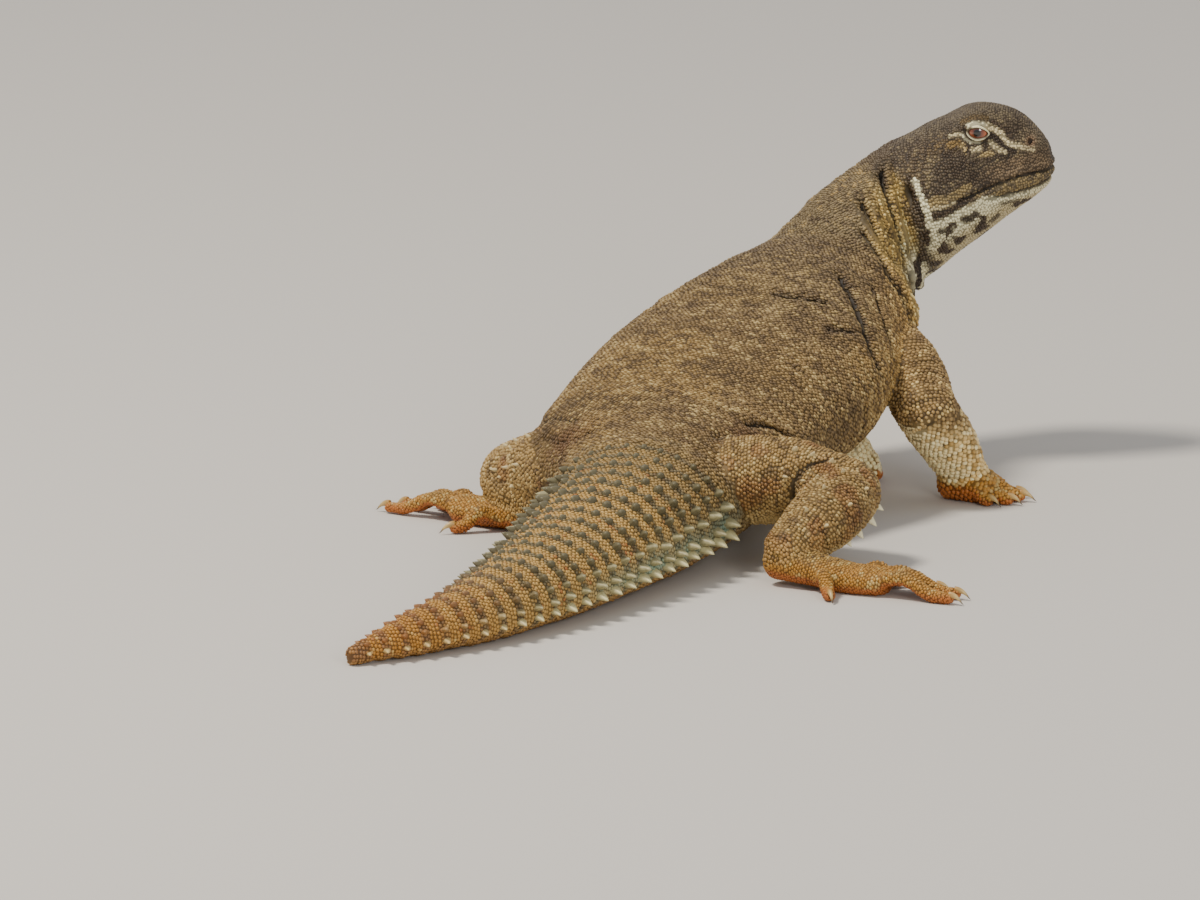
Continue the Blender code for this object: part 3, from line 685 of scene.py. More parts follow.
class Spots:
    """Places on the body as arrays: point, lie, place along, turn round, spacing, form, share, and region."""

    def __init__(self, table, forms):
        self.points, self.lies = table[:, :3], unit_rows(table[:, 3:6])
        self.place, self.turn, self.gap = table[:, 6], table[:, 7], table[:, 8]
        self.form, self.share = table[:, 9].astype(int), table[:, 10]
        self.region = region_at(self.place)
        for k, form in enumerate(forms):
            if form.region != "body":
                self.region[self.form == k] = REGIONS.index(form.region)

    def take(self, chosen):
        made = object.__new__(Spots)
        for key, value in self.__dict__.items():
            setattr(made, key, value[chosen])
        return made


def tree_of(points):
    tree = KDTree(len(points))
    for k, point in enumerate(points):
        tree.insert(point, k)
    tree.balance()
    return tree


def nearest_spots(spots, tree, points):
    """For each point, the place, turn and the rest of the nearest root, eased over three of them."""
    index = np.empty(len(points), int)
    place, sine, cosine = np.empty(len(points)), np.empty(len(points)), np.empty(len(points))
    for k, point in enumerate(points):
        found = tree.find_n(point, 3)
        best = found[0][1]
        index[k] = best
        total = p = s = c = 0.0
        for _, j, distance in found:
            if spots.form[j] == spots.form[best]:
                weight = 1.0 / (0.05 + distance)
                total += weight
                p += weight * spots.place[j]
                s += weight * math.sin(spots.turn[j])
                c += weight * math.cos(spots.turn[j])
        place[k], sine[k], cosine[k] = p / total, s, c
    near = spots.take(index)
    near.place = place
    near.turn = np.arctan2(sine, cosine) % TURN
    near.points = points
    return near


# ---- folds and hollows of the skin ----


def bump_at(points, centre, radii):
    """A round swelling of height 1 at a centre."""
    return np.exp(-(((points - np.array(centre, float)) / np.array(radii, float)) ** 2).sum(axis=1))


def line_gap(ahead, height, line):
    """How far above a line on the head's side these heights are."""
    return height - np.interp(ahead, [p[0] for p in line], [p[1] for p in line])


def polyline_gap(place, turn, radius, line):
    """How far places on the body are from a line drawn on it."""
    best = np.full(len(place), 99.0)
    for (p0, t0), (p1, t1) in zip(line, line[1:]):
        a, b = math.radians(t0), math.radians(t1)
        along, across = place - p0, (turn - a) * radius
        x, y = p1 - p0, (b - a) * radius
        share = np.clip((along * x + across * y) / (x * x + y * y), 0, 1)
        best = np.minimum(best, np.hypot(along - share * x, across - share * y))
    return best


def radius_at(near):
    """How far the body's line is from its skin, or 9 mm on a leg or foot."""
    return np.where(near.form == 0, np.interp(near.place, BODY.places, BODY.rows[:, 3:5].mean(axis=1)), 9.0)


def lowness(near):
    """How far round to the underside each place is, from 0 on top to 1 below."""
    return np.where(near.form == 0, 0.5 - 0.5 * np.cos(near.turn), 0.5 - 0.5 * near.normals[:, 2])


def is_in(near, *names):
    return np.isin(near.region, [REGIONS.index(name) for name in names]).astype(float)


def whorl_phase(place):
    """How many whorls from the tail's tip a place is."""
    reach = TAIL_END + WHORLS_PAST_ROOT - FIRST_WHORL
    share = np.maximum(place - FIRST_WHORL, 0) / reach
    return WHORLS * share ** (1 / WHORL_CROWDING)


def folds(near):
    """How far the skin stands out in rolls, and how deep in a crease each place lies, which is its painted
    shade.
    """
    points, place = near.points, near.place
    turn = np.where(near.turn < math.pi, TURN - near.turn, near.turn)
    low, radius, body = lowness(near), radius_at(near), (near.form == 0).astype(float)
    warp = soft_noise(points, 11, 1)
    ragged = 1.4 * (soft_noise(points, 5, 21) - 0.5)
    out, painted_shade = np.zeros(len(place)), np.zeros(len(place))
    stretched = body * np.where(near.turn < math.pi, 0.35, 1.0)
    # Each crease is sunk along its line and gets painted shade in its dip.
    for line, width, deep in CREASES:
        gap = polyline_gap(place + ragged, turn, radius, line)
        dip = stretched * np.exp(-((gap / width) ** 2))
        lip = np.exp(-(((gap - 2.6 * width) / (1.2 * width)) ** 2))
        out += stretched * 0.3 * deep * lip - deep * dip
        painted_shade = np.maximum(painted_shade, dip)

    # Each roll is sunk in its dip and gets painted shade there, as strong as depth.
    def rolls(value, step, high, where, depth=0.5):
        nonlocal out, painted_shade
        wave = np.abs(np.sin(math.pi * value / step))
        dip = np.exp(-((wave / 0.24) ** 2))
        out += where * high * (0.5 * wave - dip)
        painted_shade = np.maximum(painted_shade, depth * where * dip)

    trunk, neck = is_in(near, "trunk"), is_in(near, "neck")
    flank = np.exp(-(((np.abs(turn - 1.5 * math.pi) - 0.1) / 0.7) ** 2))
    shoulder = np.exp(-(((place - NECK_START + 4) / 12) ** 2)) * trunk
    hip = np.exp(-(((place - TAIL_END - 24) / 13) ** 2)) * trunk * flank
    patches = step_up(soft_noise(points, 14, 4), 0.45, 0.75)
    rolls(place + 4.5 * warp + 5 * low, 7.0, 0.50, trunk * flank * patches, 0.45)
    rolls(place + 5 * warp + 8 * low, 5.2, 0.55, shoulder * (0.3 + 0.7 * patches), 0.5)
    rolls(place + 5 * warp, 5.5, 0.50, hip, 0.5)
    slanted = place - NECK_START + FOLD_SLANT * low
    rolls(slanted + 2 * warp + FOLD_STEP / 2, FOLD_STEP, 0.9, neck * step_up(low, 0.10, 0.55), 0.7)
    rolls(slanted + 3 * warp, FOLD_STEP / 2.6, 0.35, neck * (0.4 + 0.6 * low), 0.35)
    rolls(place + 3 * warp, 4.6, 0.28, is_in(near, "hindleg", "foreleg"), 0.3)
    out += is_in(near, "tail") * (0.22 * np.cos(TURN * whorl_phase(place)) - 0.2)
    # The crease where the shank lies against its thigh is sunk and gets painted shade.
    away = segment_gap(points, *THIGH_CREASE)
    on_top = (points[:, 1] < 0) * (near.normals[:, 2] > -0.3)
    dip = is_in(near, "hindleg") * np.exp(-((away / 0.75) ** 2)) * on_top
    out -= 1.3 * dip
    painted_shade = np.maximum(painted_shade, dip)
    return out, np.clip(painted_shade, 0, 1)


def segment_gap(points, start, end):
    """How far points are, seen from above, from a line between two points."""
    start, end = np.array(start, float), np.array(end, float)
    line = end - start
    here = points[:, :2] - start
    share = np.clip((here @ line) / (line @ line), 0, 1)
    return np.linalg.norm(here - share[:, None] * line, axis=1)


def fold_skin(skin, near):
    """Moves the skin's points out and in over folds, creases and the hollows of the head."""
    points, normals = near.points.copy(), near.normals
    out = 0.20 * (soft_noise(points, 2.6, 2) - 0.5) + 0.35 * (soft_noise(points, 7, 3) - 0.5)
    out += folds(near)[0]
    out -= is_in(near, "foot") * 0.10
    head = near.region == REGIONS.index("head")
    own = to_head(points)
    side_of = np.sign(own[:, 1])
    own[:, 1] = np.abs(own[:, 1])
    ahead, _, height = own.T
    out = np.where(head, 0.6 * out, out)
    mouth, jaw = line_gap(ahead, height, MOUTH_LINE), line_gap(ahead, height, JAW_LINE)
    lips = head * np.clip((ahead - 14) / 4, 0, 1)
    out -= lips * 1.0 * np.exp(-((mouth / 0.36) ** 2))
    out += lips * 0.32 * np.exp(-(((np.abs(mouth) - 1.2) / 0.8) ** 2))
    out -= head * np.clip((ahead - 20) / 4, 0, 1) * 0.7 * np.exp(-((jaw / 0.45) ** 2))
    out += head * np.clip((ahead - 20) / 4, 0, 1) * 0.3 * np.exp(-(((jaw + 1.3) / 0.8) ** 2))
    for high, centre, radii in HEAD_SWELLS:
        out += head * high * bump_at(own, centre, radii)
    moved = points + normals * out[:, None]
    for sign in (1, -1):
        eye = from_head(EYE * (1, sign, 1))
        away = moved - eye
        reach = np.linalg.norm(away, axis=1)
        local = (away / reach[:, None]) @ HEAD_TURN * (1, sign, 1)
        angle = np.arccos(np.clip(local[:, 1], -1, 1))
        opening = lid_opening(np.arctan2(local[:, 2], local[:, 0]))
        mine = head & (side_of == sign) & (reach < EYE_RADIUS + 6)
        sunk = mine & (angle < opening + math.radians(3))
        share = mine * (1 - step_up(angle, opening + math.radians(10), math.radians(72)))
        radius = reach * (1 - share) + (EYE_RADIUS + 0.35) * share
        close = mine & (angle < math.radians(100))
        radius = np.where(close, np.maximum(radius, EYE_RADIUS + 0.3), radius)
        radius = np.where(sunk, EYE_RADIUS - 0.9, radius)
        moved = np.where(mine[:, None], eye + away / reach[:, None] * radius[:, None], moved)
    moved[:, 2] = np.maximum(moved[:, 2], 0.35)
    set_points(skin, moved)
    return moved


# ---- markings ----


def mix(a, b, share):
    share = np.clip(share, 0, 1)[:, None]
    return a * (1 - share) + b * share


def step_up(value, low, high):
    t = np.clip((value - low) / (high - low), 0, 1)
    return t * t * (3 - 2 * t)


class Look:
    """Places on the body with what their markings are made of: shares, a tone, and noise of three sizes."""

    def __init__(self, near, seed, speckle):
        self.near, self.points, self.place, self.low = near, near.points, near.place, lowness(near)
        self.folded = np.where(near.turn < math.pi, TURN - near.turn, near.turn)
        self.grain = np.random.default_rng(50 + seed).random(len(near.points))
        self.broad = soft_noise(near.points, 15, 11)
        self.patch = soft_noise(near.points, 3.6, 12)
        across = near.turn * radius_at(near)
        dash = np.column_stack([near.place / 1.05, across / 2.6, np.full(len(across), 3.3)])
        tone = 0.5 + 0.70 * (soft_noise(dash, 1.0, 22) - 0.5)
        tone += 0.16 * (self.patch - 0.5) + 0.16 * (self.broad - 0.5)
        self.tone = np.clip(tone + speckle * 0.46 * (self.grain - 0.5), 0, 1)
        self.crest = 1 - step_up(self.low + 0.08 * (self.patch - 0.5), 0.06, 0.30)
        self.yellow = np.exp(-(((self.place - NECK_START + 14) / 20) ** 2)) * step_up(self.low, 0.25, 0.55)
        self.throat = step_up(self.low + 0.1 * (self.patch - 0.5), 0.62, 0.76)
        self.throat = self.throat * step_up(self.place, NECK_START + 14, NECK_END - 8)
        self.hips = step_up(self.place, TAIL_END - 34, TAIL_END + 4)
        self.hand = is_fore_foot(near)

    def spread(self, deep, base, pale, first=0.26, last=0.62):
        """A deep, a middle and a pale colour by tone."""
        made = mix(deep, base, step_up(self.tone, first, first + 0.26))
        return mix(made, pale, step_up(self.tone, last, last + 0.22))


def trunk_tint(look):
    """Brown, olive and straw dashes, paler below, with a dark mark at the hip and a dusky ridge."""
    warm = step_up(soft_noise(look.points, 17, 23), 0.4, 0.65)
    made = look.spread(BROWN, mix(OLIVE, 0.6 * OLIVE + 0.4 * OCHRE, warm), STRAW * 0.95)
    made = mix(made, STRAW * 0.95, step_up(look.low, 0.72, 0.92))
    blotch = step_up(soft_noise(look.points, 6.5, 14), 0.64, 0.80) * (1 - step_up(look.low, 0.6, 0.8))
    made = mix(made, BROWN, 0.22 * blotch)
    hip = np.exp(-(((look.place - 172) / 6) ** 2) - ((look.folded - 5.3) / 0.30) ** 2)
    made = mix(made, UMBER + RUST * 0.35, 0.8 * hip)
    made = mix(made, look.spread(BROWN, OCHRE, STRAW * 1.1), 0.6 * look.yellow)
    ridge = look.crest * step_up(look.place, NECK_START - 75, NECK_START - 15)
    return mix(made, look.spread(UMBER * 1.8, SMOKE * 0.8, OLIVE), 0.55 * ridge)


def neck_tint(look):
    """Ochre, dusky on top, with a pale side behind the head and a white net on the throat."""
    made = look.spread(BROWN * 0.9, OCHRE * 0.9, STRAW, 0.20, 0.60)
    side = np.exp(-(((look.place - NECK_END + 5) / 6) ** 2)) * step_up(look.low, 0.42, 0.6)
    made = mix(made, look.spread(BROWN, STRAW * 0.85, CHALK * 0.85, 0.2, 0.55), 0.75 * side)
    top = look.spread(UMBER * 1.5, SMOKE * 0.72, OLIVE, 0.2, 0.7)
    made = mix(made * (1, 1.07, 1.05), top, 0.85 * look.crest)
    nape = look.crest * step_up(look.place + 3 * (look.patch - 0.5), NECK_END - 10, NECK_END - 5)
    made = mix(made, mix(UMBER * 1.6, SLATE * 0.9, step_up(look.tone, 0.3, 0.7)), nape)
    net = step_up(soft_noise(look.points, 3.2, 15), 0.50, 0.60)
    return mix(made, mix(CHALK * 0.88, UMBER * 1.3, net), look.throat)


def tail_tint(look):
    """Ochre whorls with darker gaps, rusty towards the tip, with teal along both edges and painted shade on
    the underside.
    """
    phase = whorl_phase(look.place)
    beside = np.abs(phase - np.round(phase)) + 0.10 * (look.patch - 0.5)
    rust = step_up(-look.place, -62, -6)
    ochre = mix(OCHRE * 1.05, ORANGE * (0.80, 0.72, 0.62), rust)
    band = look.spread(RUST * 1.1, ochre, STRAW * (1.0, 0.92, 0.75), 0.05, 0.72)
    between = mix(look.spread(BROWN, MOSS * 1.1, OCHRE * 0.8, 0.12, 0.55), RUST * 1.1, rust * 0.6)
    made = mix(between, band, step_up(beside, 0.15, 0.25) * (1 - 0.55 * look.hips))
    # Painted shade: the underside is darkened towards rusty ochre.
    made = mix(made, 0.5 * (RUST + OCHRE), step_up(look.low, 0.66, 0.85) * 0.8)
    edge = np.exp(-(((look.folded - math.radians(268)) / 0.26) ** 2))
    teal = edge * step_up(look.place, 62, 108) * (0.35 + soft_noise(look.points, 5, 16))
    return mix(made, TEAL, 0.9 * teal)


def hindleg_tint(look):
    """Olive and ochre with rusty patches, paler below."""
    made = look.spread(BROWN * 1.15, 0.5 * (OLIVE + OCHRE), STRAW * 0.9, 0.24, 0.62)
    made = mix(made, RUST * 0.9, 0.40 * step_up(soft_noise(look.points, 5.5, 24), 0.60, 0.74))
    made = mix(made, OCHRE * 1.15, step_up(16 - look.points[:, 2], 0, 10) * 0.55)
    return mix(made, STRAW, step_up(look.low, 0.74, 0.92))


def foreleg_tint(look):
    """Olive above, with straw and cream at the wrist and on the inner side."""
    made = look.spread(BROWN, OLIVE, STRAW * 0.9, 0.24, 0.62)
    wrist = step_up(27 - look.points[:, 2] + 5 * (look.patch - 0.5), 0, 13)
    made = mix(made, look.spread(OCHRE * 0.8, STRAW * 1.05, CREAM * 1.1, 0.25, 0.6), wrist)
    made = mix(made, CREAM, step_up(look.low, 0.68, 0.88))
    inner = (look.points[:, 1] > -15) * step_up(-look.near.normals[:, 1], -0.1, 0.4)
    return mix(made, CREAM * 1.05, inner)


def foot_tint(look):
    """Ochre and orange above, with rusty soles and palms."""
    height, hand = look.points[:, 2] + 1.4 * (look.patch - 0.5), look.hand
    top = look.spread(BROWN, OCHRE * 0.85, STRAW, 0.2, 0.6)
    top = mix(top, look.spread(ORANGE * 0.8, ORANGE, STRAW * 1.1, 0.2, 0.6), 1 - step_up(height, 5.5, 9.0))
    top = mix(top, look.spread(ORANGE * 0.8, ORANGE, STRAW, 0.2, 0.6), hand)
    pale = look.spread(OCHRE, STRAW * 1.1, CREAM * (1.05, 0.95, 0.75), 0.1, 0.4)
    top = mix(top, pale, hand * step_up(height, 6.0, 9.5))
    sole = (1 - step_up(height, 1.6, 3.6)) * (1 - hand)
    palm = hand * (1 - step_up(height, 3.0, 6.5)) * step_up(look.low, 0.34, 0.5)
    under = np.maximum(sole + palm, step_up(look.low, 0.62, 0.8))
    return mix(top * (0.90, 0.86, 0.70), RUST * (1.5, 1.25, 0.9), under)


def tone_and_painted_light(look):
    """How bright each region is beside its plain colours: partly the regions' own tone, partly painted light
    on the neck, the collar and the throat.
    """
    near = look.near
    made = 0.86 + 0.36 * is_in(near, "neck") + 0.16 * is_in(near, "tail") * (1 - look.hips)
    made += 0.60 * look.yellow * is_in(near, "trunk") + 0.40 * is_in(near, "foreleg")
    made += 0.10 * is_in(near, "head") + 0.08 * is_in(near, "hindleg") + 0.10 * look.hand
    # The collar's sides below the crest are brightened as painted light.
    collar = np.exp(-(((look.place - NECK_START + 2) / 13) ** 2)) * is_in(near, "trunk", "neck")
    made += 0.40 * collar * (1 - look.crest)
    return made + (1 - made) * look.throat * is_in(near, "neck")


def markings(near, seed=0, speckle=1.0):
    """The colour at places on the body, with painted shade in the creases and partly painted light in each
    region's brightness. Speckle is how far single scales differ.
    """
    look = Look(near, seed, speckle)
    trunk, neck = trunk_tint(look), neck_tint(look)
    own = to_head(near.points)
    own[:, 1] = np.abs(own[:, 1])
    start = own[:, 0] + 1.5 * (look.patch - 0.5) + 3.0 * (1 - step_up(look.low, 0.1, 0.3))
    head = mix(neck, head_marks(own, look.tone, look.patch, look.grain), step_up(start, 1.0, 3.5))
    root = step_up(near.place + 6 * (look.patch - 0.5), TAIL_END + 2, TAIL_END + 18)
    rump = mix(tail_tint(look), trunk, root)
    join = step_up(near.place + 10 * (look.broad - 0.5), NECK_START - 8, NECK_START + 6)
    tints = {
        "tail": rump, "trunk": mix(rump, neck, join), "neck": mix(trunk, neck, join), "head": head,
        "hindleg": hindleg_tint(look), "foreleg": foreleg_tint(look), "foot": foot_tint(look),
    }
    colour = np.empty((len(near.points), 3))
    for region, tint in tints.items():
        chosen = near.region == REGIONS.index(region)
        colour[chosen] = tint[chosen]
    # Painted shade in the creases, weaker on the head.
    painted_shade = folds(near)[1] * np.where(near.region == REGIONS.index("head"), 0.3, 1.0)
    return mix(colour * tone_and_painted_light(look)[:, None], UMBER * 1.1, 0.74 * painted_shade)


def is_fore_foot(near):
    """1 on the forefeet, which lie ahead of the trunk's middle, and 0 elsewhere."""
    return is_in(near, "foot") * (near.points[:, 0] > 60)


def head_marks(own, tone, patch, grain):
    """The head's markings, from distance ahead, distance to the side and height in its own frame."""
    ahead, side, height = own.T
    count = len(own)
    colour = mix(UMBER * 1.4, SLATE, step_up(tone, 0.25, 0.6))
    colour = mix(colour, STRAW * (0.40, 0.42, 0.50), 0.8 * step_up(tone, 0.62, 0.85))
    crown = step_up(height, 12.5, 16.5)
    colour = mix(colour, mix(SLATE * 0.75, SMOKE * 0.85, step_up(tone, 0.3, 0.75)), 0.8 * crown)
    warm = 0.45 * bump_at(own, (14.5, 13, 12), (5, 8, 2.2)) + 0.25 * bump_at(own, (5, 17, 8), (4, 8, 5))
    colour = mix(colour, OCHRE * 0.6, np.clip(warm, 0, 1) * step_up(tone, 0.25, 0.6))

    def stroke(line, width, tint, strength=1.0, ragged=0.6):
        """A stroke of colour along a line on the head's side, each point ahead and height."""
        nonlocal colour
        best = np.full(count, 99.0)
        for start, end in zip(line, line[1:]):
            start, end = np.array(start, float), np.array(end, float)
            way = end - start
            here = own[:, (0, 2)] - start
            share = np.clip((here @ way) / (way @ way), 0, 1)
            best = np.minimum(best, np.linalg.norm(here - share[:, None] * way, axis=1))
        best = best + ragged * (patch - 0.5) * width + 0.25 * (grain - 0.5) * width
        colour = mix(colour, tint, strength * (1 - step_up(best, 0.6 * width, 1.05 * width)) * (side > 1.5))

    mouth, jaw = line_gap(ahead, height, MOUTH_LINE), line_gap(ahead, height, JAW_LINE)
    nose = bump_at(own, (38.5, 4, 7.5), (3.4, 7, 4.0))
    colour = mix(colour, SMOKE * 1.3 * (0.7 + 0.6 * tone[:, None]), 0.8 * nose)
    upper = 1 - step_up(mouth + 0.6 * (patch - 0.5), 4.6, 6.2)
    upper = upper * step_up(ahead, 21, 28) * step_up(mouth, -0.2, 0.4)
    colour = mix(colour, ROSE * (0.88, 0.96, 0.92) * (0.35 + 0.95 * tone[:, None]), 0.85 * upper)
    below = (1 - step_up(mouth, -0.5, 0.1)) * step_up(ahead, 17, 24)
    # Two thin dark lines along the lower lip are painted shade of its grooves.
    painted_groove_shade = 0.35 * np.exp(-(((mouth + 1.5) / 0.3) ** 2)) + 0.35 * np.exp(-(((mouth + 2.7) / 0.3) ** 2))
    colour = mix(colour, mix(SMOKE * 0.9, STRAW * 0.62, step_up(tone, 0.2, 0.8) - painted_groove_shade), 0.92 * below)
    net = step_up(patch + 0.12 * (grain - 0.5), 0.60, 0.68)
    chin = mix(CREAM * 0.72, CHALK * 0.95, step_up(height + 0.35 * (24 - ahead), -9.5, -6.5))
    white = mix(chin, UMBER * 1.6, net * step_up(-height, 5.5, 8.5))
    throat_edge = np.interp(ahead, (0, 7, 12, 19, 25, 32, 40), (-7.5, -6.6, -6.6, -5.2, -4.6, -5.6, -5.2))
    under = 1 - step_up(height - throat_edge + 0.8 * (patch - 0.5), -0.8, 0.2)
    colour = mix(colour, white * (0.82 + 0.3 * grain[:, None]), under * step_up(ahead, 3, 6))
    for each in HEAD_STROKES:
        stroke(*each)
    row = np.exp(-(((jaw + 1.3) / 0.62) ** 2)) * step_up(ahead, 24, 28)
    colour = mix(colour, CHALK * 0.95, 0.9 * row)
    # Painted shade in the grooves of the mouth and the jaw.
    colour = mix(colour, UMBER * 0.8, 0.95 * np.exp(-((mouth / 0.36) ** 2)) * step_up(ahead, 15, 18))
    colour = mix(colour, UMBER * 0.9, 0.9 * np.exp(-((jaw / 0.40) ** 2)) * step_up(ahead, 21, 25))
    # Painted shade in the ear's hollow and in the nostril's hole, round which the rim is rosy.
    colour = mix(colour, UMBER * 0.5, 1.3 * bump_at(own, EAR, (0.9, 4, 2.4)))
    colour = mix(colour, ROSE * 1.5, 1.2 * bump_at(own, NOSTRIL, (1.1, 3, 1.3)))
    colour = mix(colour, UMBER * 0.5 + RUST * 0.1, 1.6 * bump_at(own, NOSTRIL, (0.65, 3, 0.8)))
    return colour


# ---- scales ----


def bead_shape():
    """A low scale with six sides, its back end longer and raised, as points, triangles and levels of painted
    shade from its root to its top.
    """
    points, level = [], []
    for radius, height in ((0.54, -0.8), (0.40, 0.62)):
        for k in range(6):
            turn = TURN * (k + 0.5) / 6
            back = math.cos(turn)
            long = 1.12 if back > 0 else 1.0
            points.append((radius * back * long, radius * math.sin(turn), height + 0.22 * back))
            level.append(0.0 if height < 0 else 0.75)
    points.append((0.08, 0.0, 1.0))
    level.append(1.0)
    faces = []
    for k in range(6):
        n = (k + 1) % 6
        faces += [(k, n, 6 + n), (k, 6 + n, 6 + k), (6 + k, 6 + n, 12)]
    faces += [(0, k + 1, k) for k in range(1, 5)]
    return np.array(points), np.array(faces), np.array(level)


def spine_shape(sides=7):
    """A keeled spine that leans back to a point, with levels of painted shade from its root to its tip."""
    points, level = [], []
    for share in (-0.35, 0.0, 0.36, 0.70):
        radius = (1 - max(share, 0)) ** 0.85
        for k in range(sides):
            turn = TURN * k / sides
            keel = 1.0 + 0.25 * max(0.0, math.cos(turn))
            points.append((radius * keel * math.cos(turn), 0.86 * radius * math.sin(turn), share))
            level.append(max(share, 0.0))
    points.append((0.0, 0.0, 1.0))
    level.append(1.0)
    faces = []
    for j in range(3):
        for k in range(sides):
            a, b = j * sides + k, j * sides + (k + 1) % sides
            faces += [(a, b, b + sides), (a, b + sides, a + sides)]
    top = 3 * sides
    faces += [(top + k, top + (k + 1) % sides, 4 * sides) for k in range(sides)]
    faces += [(0, k + 1, k) for k in range(1, sides - 1)]
    return np.array(points), np.array(faces), np.array(level)


class Coat:
    """Scales of one piece: where each stands, its axes, sizes and colours, and its place on the unwrap."""

    def __init__(self):
        self.rows = []

    def add(self, points, normals, lies, along, across, stands, colours, uvs, lean=0.0):
        count = len(points)
        lies = unit_rows(lies - normals * (lies * normals).sum(axis=1, keepdims=True))
        full = [points, normals, lies]
        full += [np.broadcast_to(v, count)[:, None] for v in (along, across, stands)]
        full += [colours, uvs, np.broadcast_to(lean, count)[:, None]]
        self.rows.append(np.hstack(full))

    def build(self, name, shape, painted_shade=0.36, pale=1.12):
        local, faces, level = shape
        table = np.vstack(self.rows)
        points, normals, lies = table[:, :3], table[:, 3:6], table[:, 6:9]
        along, across, stands = table[:, 9:12].T
        colours, uvs, lean = table[:, 12:15], table[:, 15:17], table[:, 17]
        sides = np.cross(normals, lies)
        bend = lean[:, None] * np.maximum(local[None, :, 2], 0) ** 1.5 * stands[:, None]
        x = local[None, :, 0] * along[:, None] + bend
        y = local[None, :, 1] * across[:, None]
        z = local[None, :, 2] * stands[:, None]
        world = points[:, None] + x[..., None] * lies[:, None] + y[..., None] * sides[:, None]
        world += z[..., None] * normals[:, None]
        world[..., 2] = np.maximum(world[..., 2], 0.04)
        count, corners = len(points), len(local)
        triangles = (np.arange(count)[:, None, None] * corners + faces[None]).reshape(-1, 3)
        # Painted shade at each scale's root and painted light on its top, from the root's factor up to pale.
        shade = painted_shade + (pale - painted_shade) * level
        tints = np.clip(colours[:, None] * shade[None, :, None], 0, 1)
        spread = local[:, :2] / np.abs(local[:, :2]).max()
        places = uvs[:, None] + 0.0015 * spread[None]
        obj = mesh_object(name, world.reshape(-1, 3), triangles, tints.reshape(-1, 3), places.reshape(-1, 2))
        print(f"{name}: {count} scales, {len(triangles)} triangles")
        return obj


def project(surface, points, reach):
    """The nearest points on the skin, the skin's even normals there, and which points are within reach."""
    tree, co, faces, normals = surface
    found, at = np.zeros((len(points), 3)), np.zeros(len(points), int)
    near = np.zeros(len(points), bool)
    for k, point in enumerate(points):
        spot, _, index, distance = tree.find_nearest(point)
        if spot is not None and distance < reach:
            found[k], at[k], near[k] = spot, index, True
    corners = faces[at]
    a, b, c = (co[corners[:, k]] for k in range(3))
    u, v, w = b - a, c - a, found - a
    d00, d01, d11 = (u * u).sum(1), (u * v).sum(1), (v * v).sum(1)
    d20, d21 = (w * u).sum(1), (w * v).sum(1)
    base = np.maximum(d00 * d11 - d01 * d01, 1e-12)
    s, t = (d11 * d20 - d01 * d21) / base, (d00 * d21 - d01 * d20) / base
    shares = np.clip(np.column_stack([1 - s - t, s, t]), 0, 1)
    even = unit_rows((normals[corners] * shares[..., None]).sum(axis=1))
    return found, even, near


def chart(near, body_range=None):
    """Each root's place on an unwrap of its form: share along it and turn round it."""
    turn = near.turn / TURN
    if body_range is not None:
        low, high = body_range
        return np.column_stack([0.01 + 0.98 * (near.place - low) / (high - low), 0.01 + 0.98 * turn])
    kinds = np.unique(near.form)
    slot = np.searchsorted(kinds, near.form)
    wide = 1.0 / len(kinds)
    return np.column_stack([(slot + 0.03 + 0.94 * near.share) * wide, 0.01 + 0.98 * turn])


def tail_spine_rows():
    """Roots, lies and sizes of the tail's whorls of spines, long along its edges."""
    rows = []
    reach = TAIL_END + WHORLS_PAST_ROOT - FIRST_WHORL
    random = np.random.default_rng(31)
    for whorl in range(WHORLS):
        place = FIRST_WHORL + reach * (whorl / WHORLS) ** WHORL_CROWDING
        centre, forward, left, up, (half, rise, drop) = BODY.frame(place)
        arc = SPINE_ARC * (half + rise)
        spread = half / WIDEST_TAIL
        count = max(5, round(arc / (SPINE_SPACING * (0.55 + 0.45 * spread))))
        for k in range(count):
            turn = SPINE_ARC * (2 * (k + 0.5) / count - 1) + random.normal(0, 0.012)
            root = centre + left * (half - COAT) * math.sin(turn)
            root = root + up * ((rise if math.cos(turn) > 0 else drop) - COAT) * math.cos(turn)
            out = unit(left * math.sin(turn) / half + up * math.cos(turn) / rise)
            edge = abs(math.sin(turn)) ** 3
            size = SPINE_HEIGHT * (0.42 + 0.58 * spread) * random.uniform(0.88, 1.10)
            high = size * (0.46 + 0.60 * edge)
            hips = 1 - 0.55 * max(0.0, (place - TAIL_END + 20) / 32) * (1 - edge)
            axis = unit(out - forward * (0.75 - 0.45 * edge))
            side = 1.0 if k in (0, count - 1) else 0.0
            sizes = (size * 0.36 * hips, high * hips)
            rows.append((*root, *axis, *(-forward), *sizes, turn % TURN, place, edge, side))
    return np.array(rows)


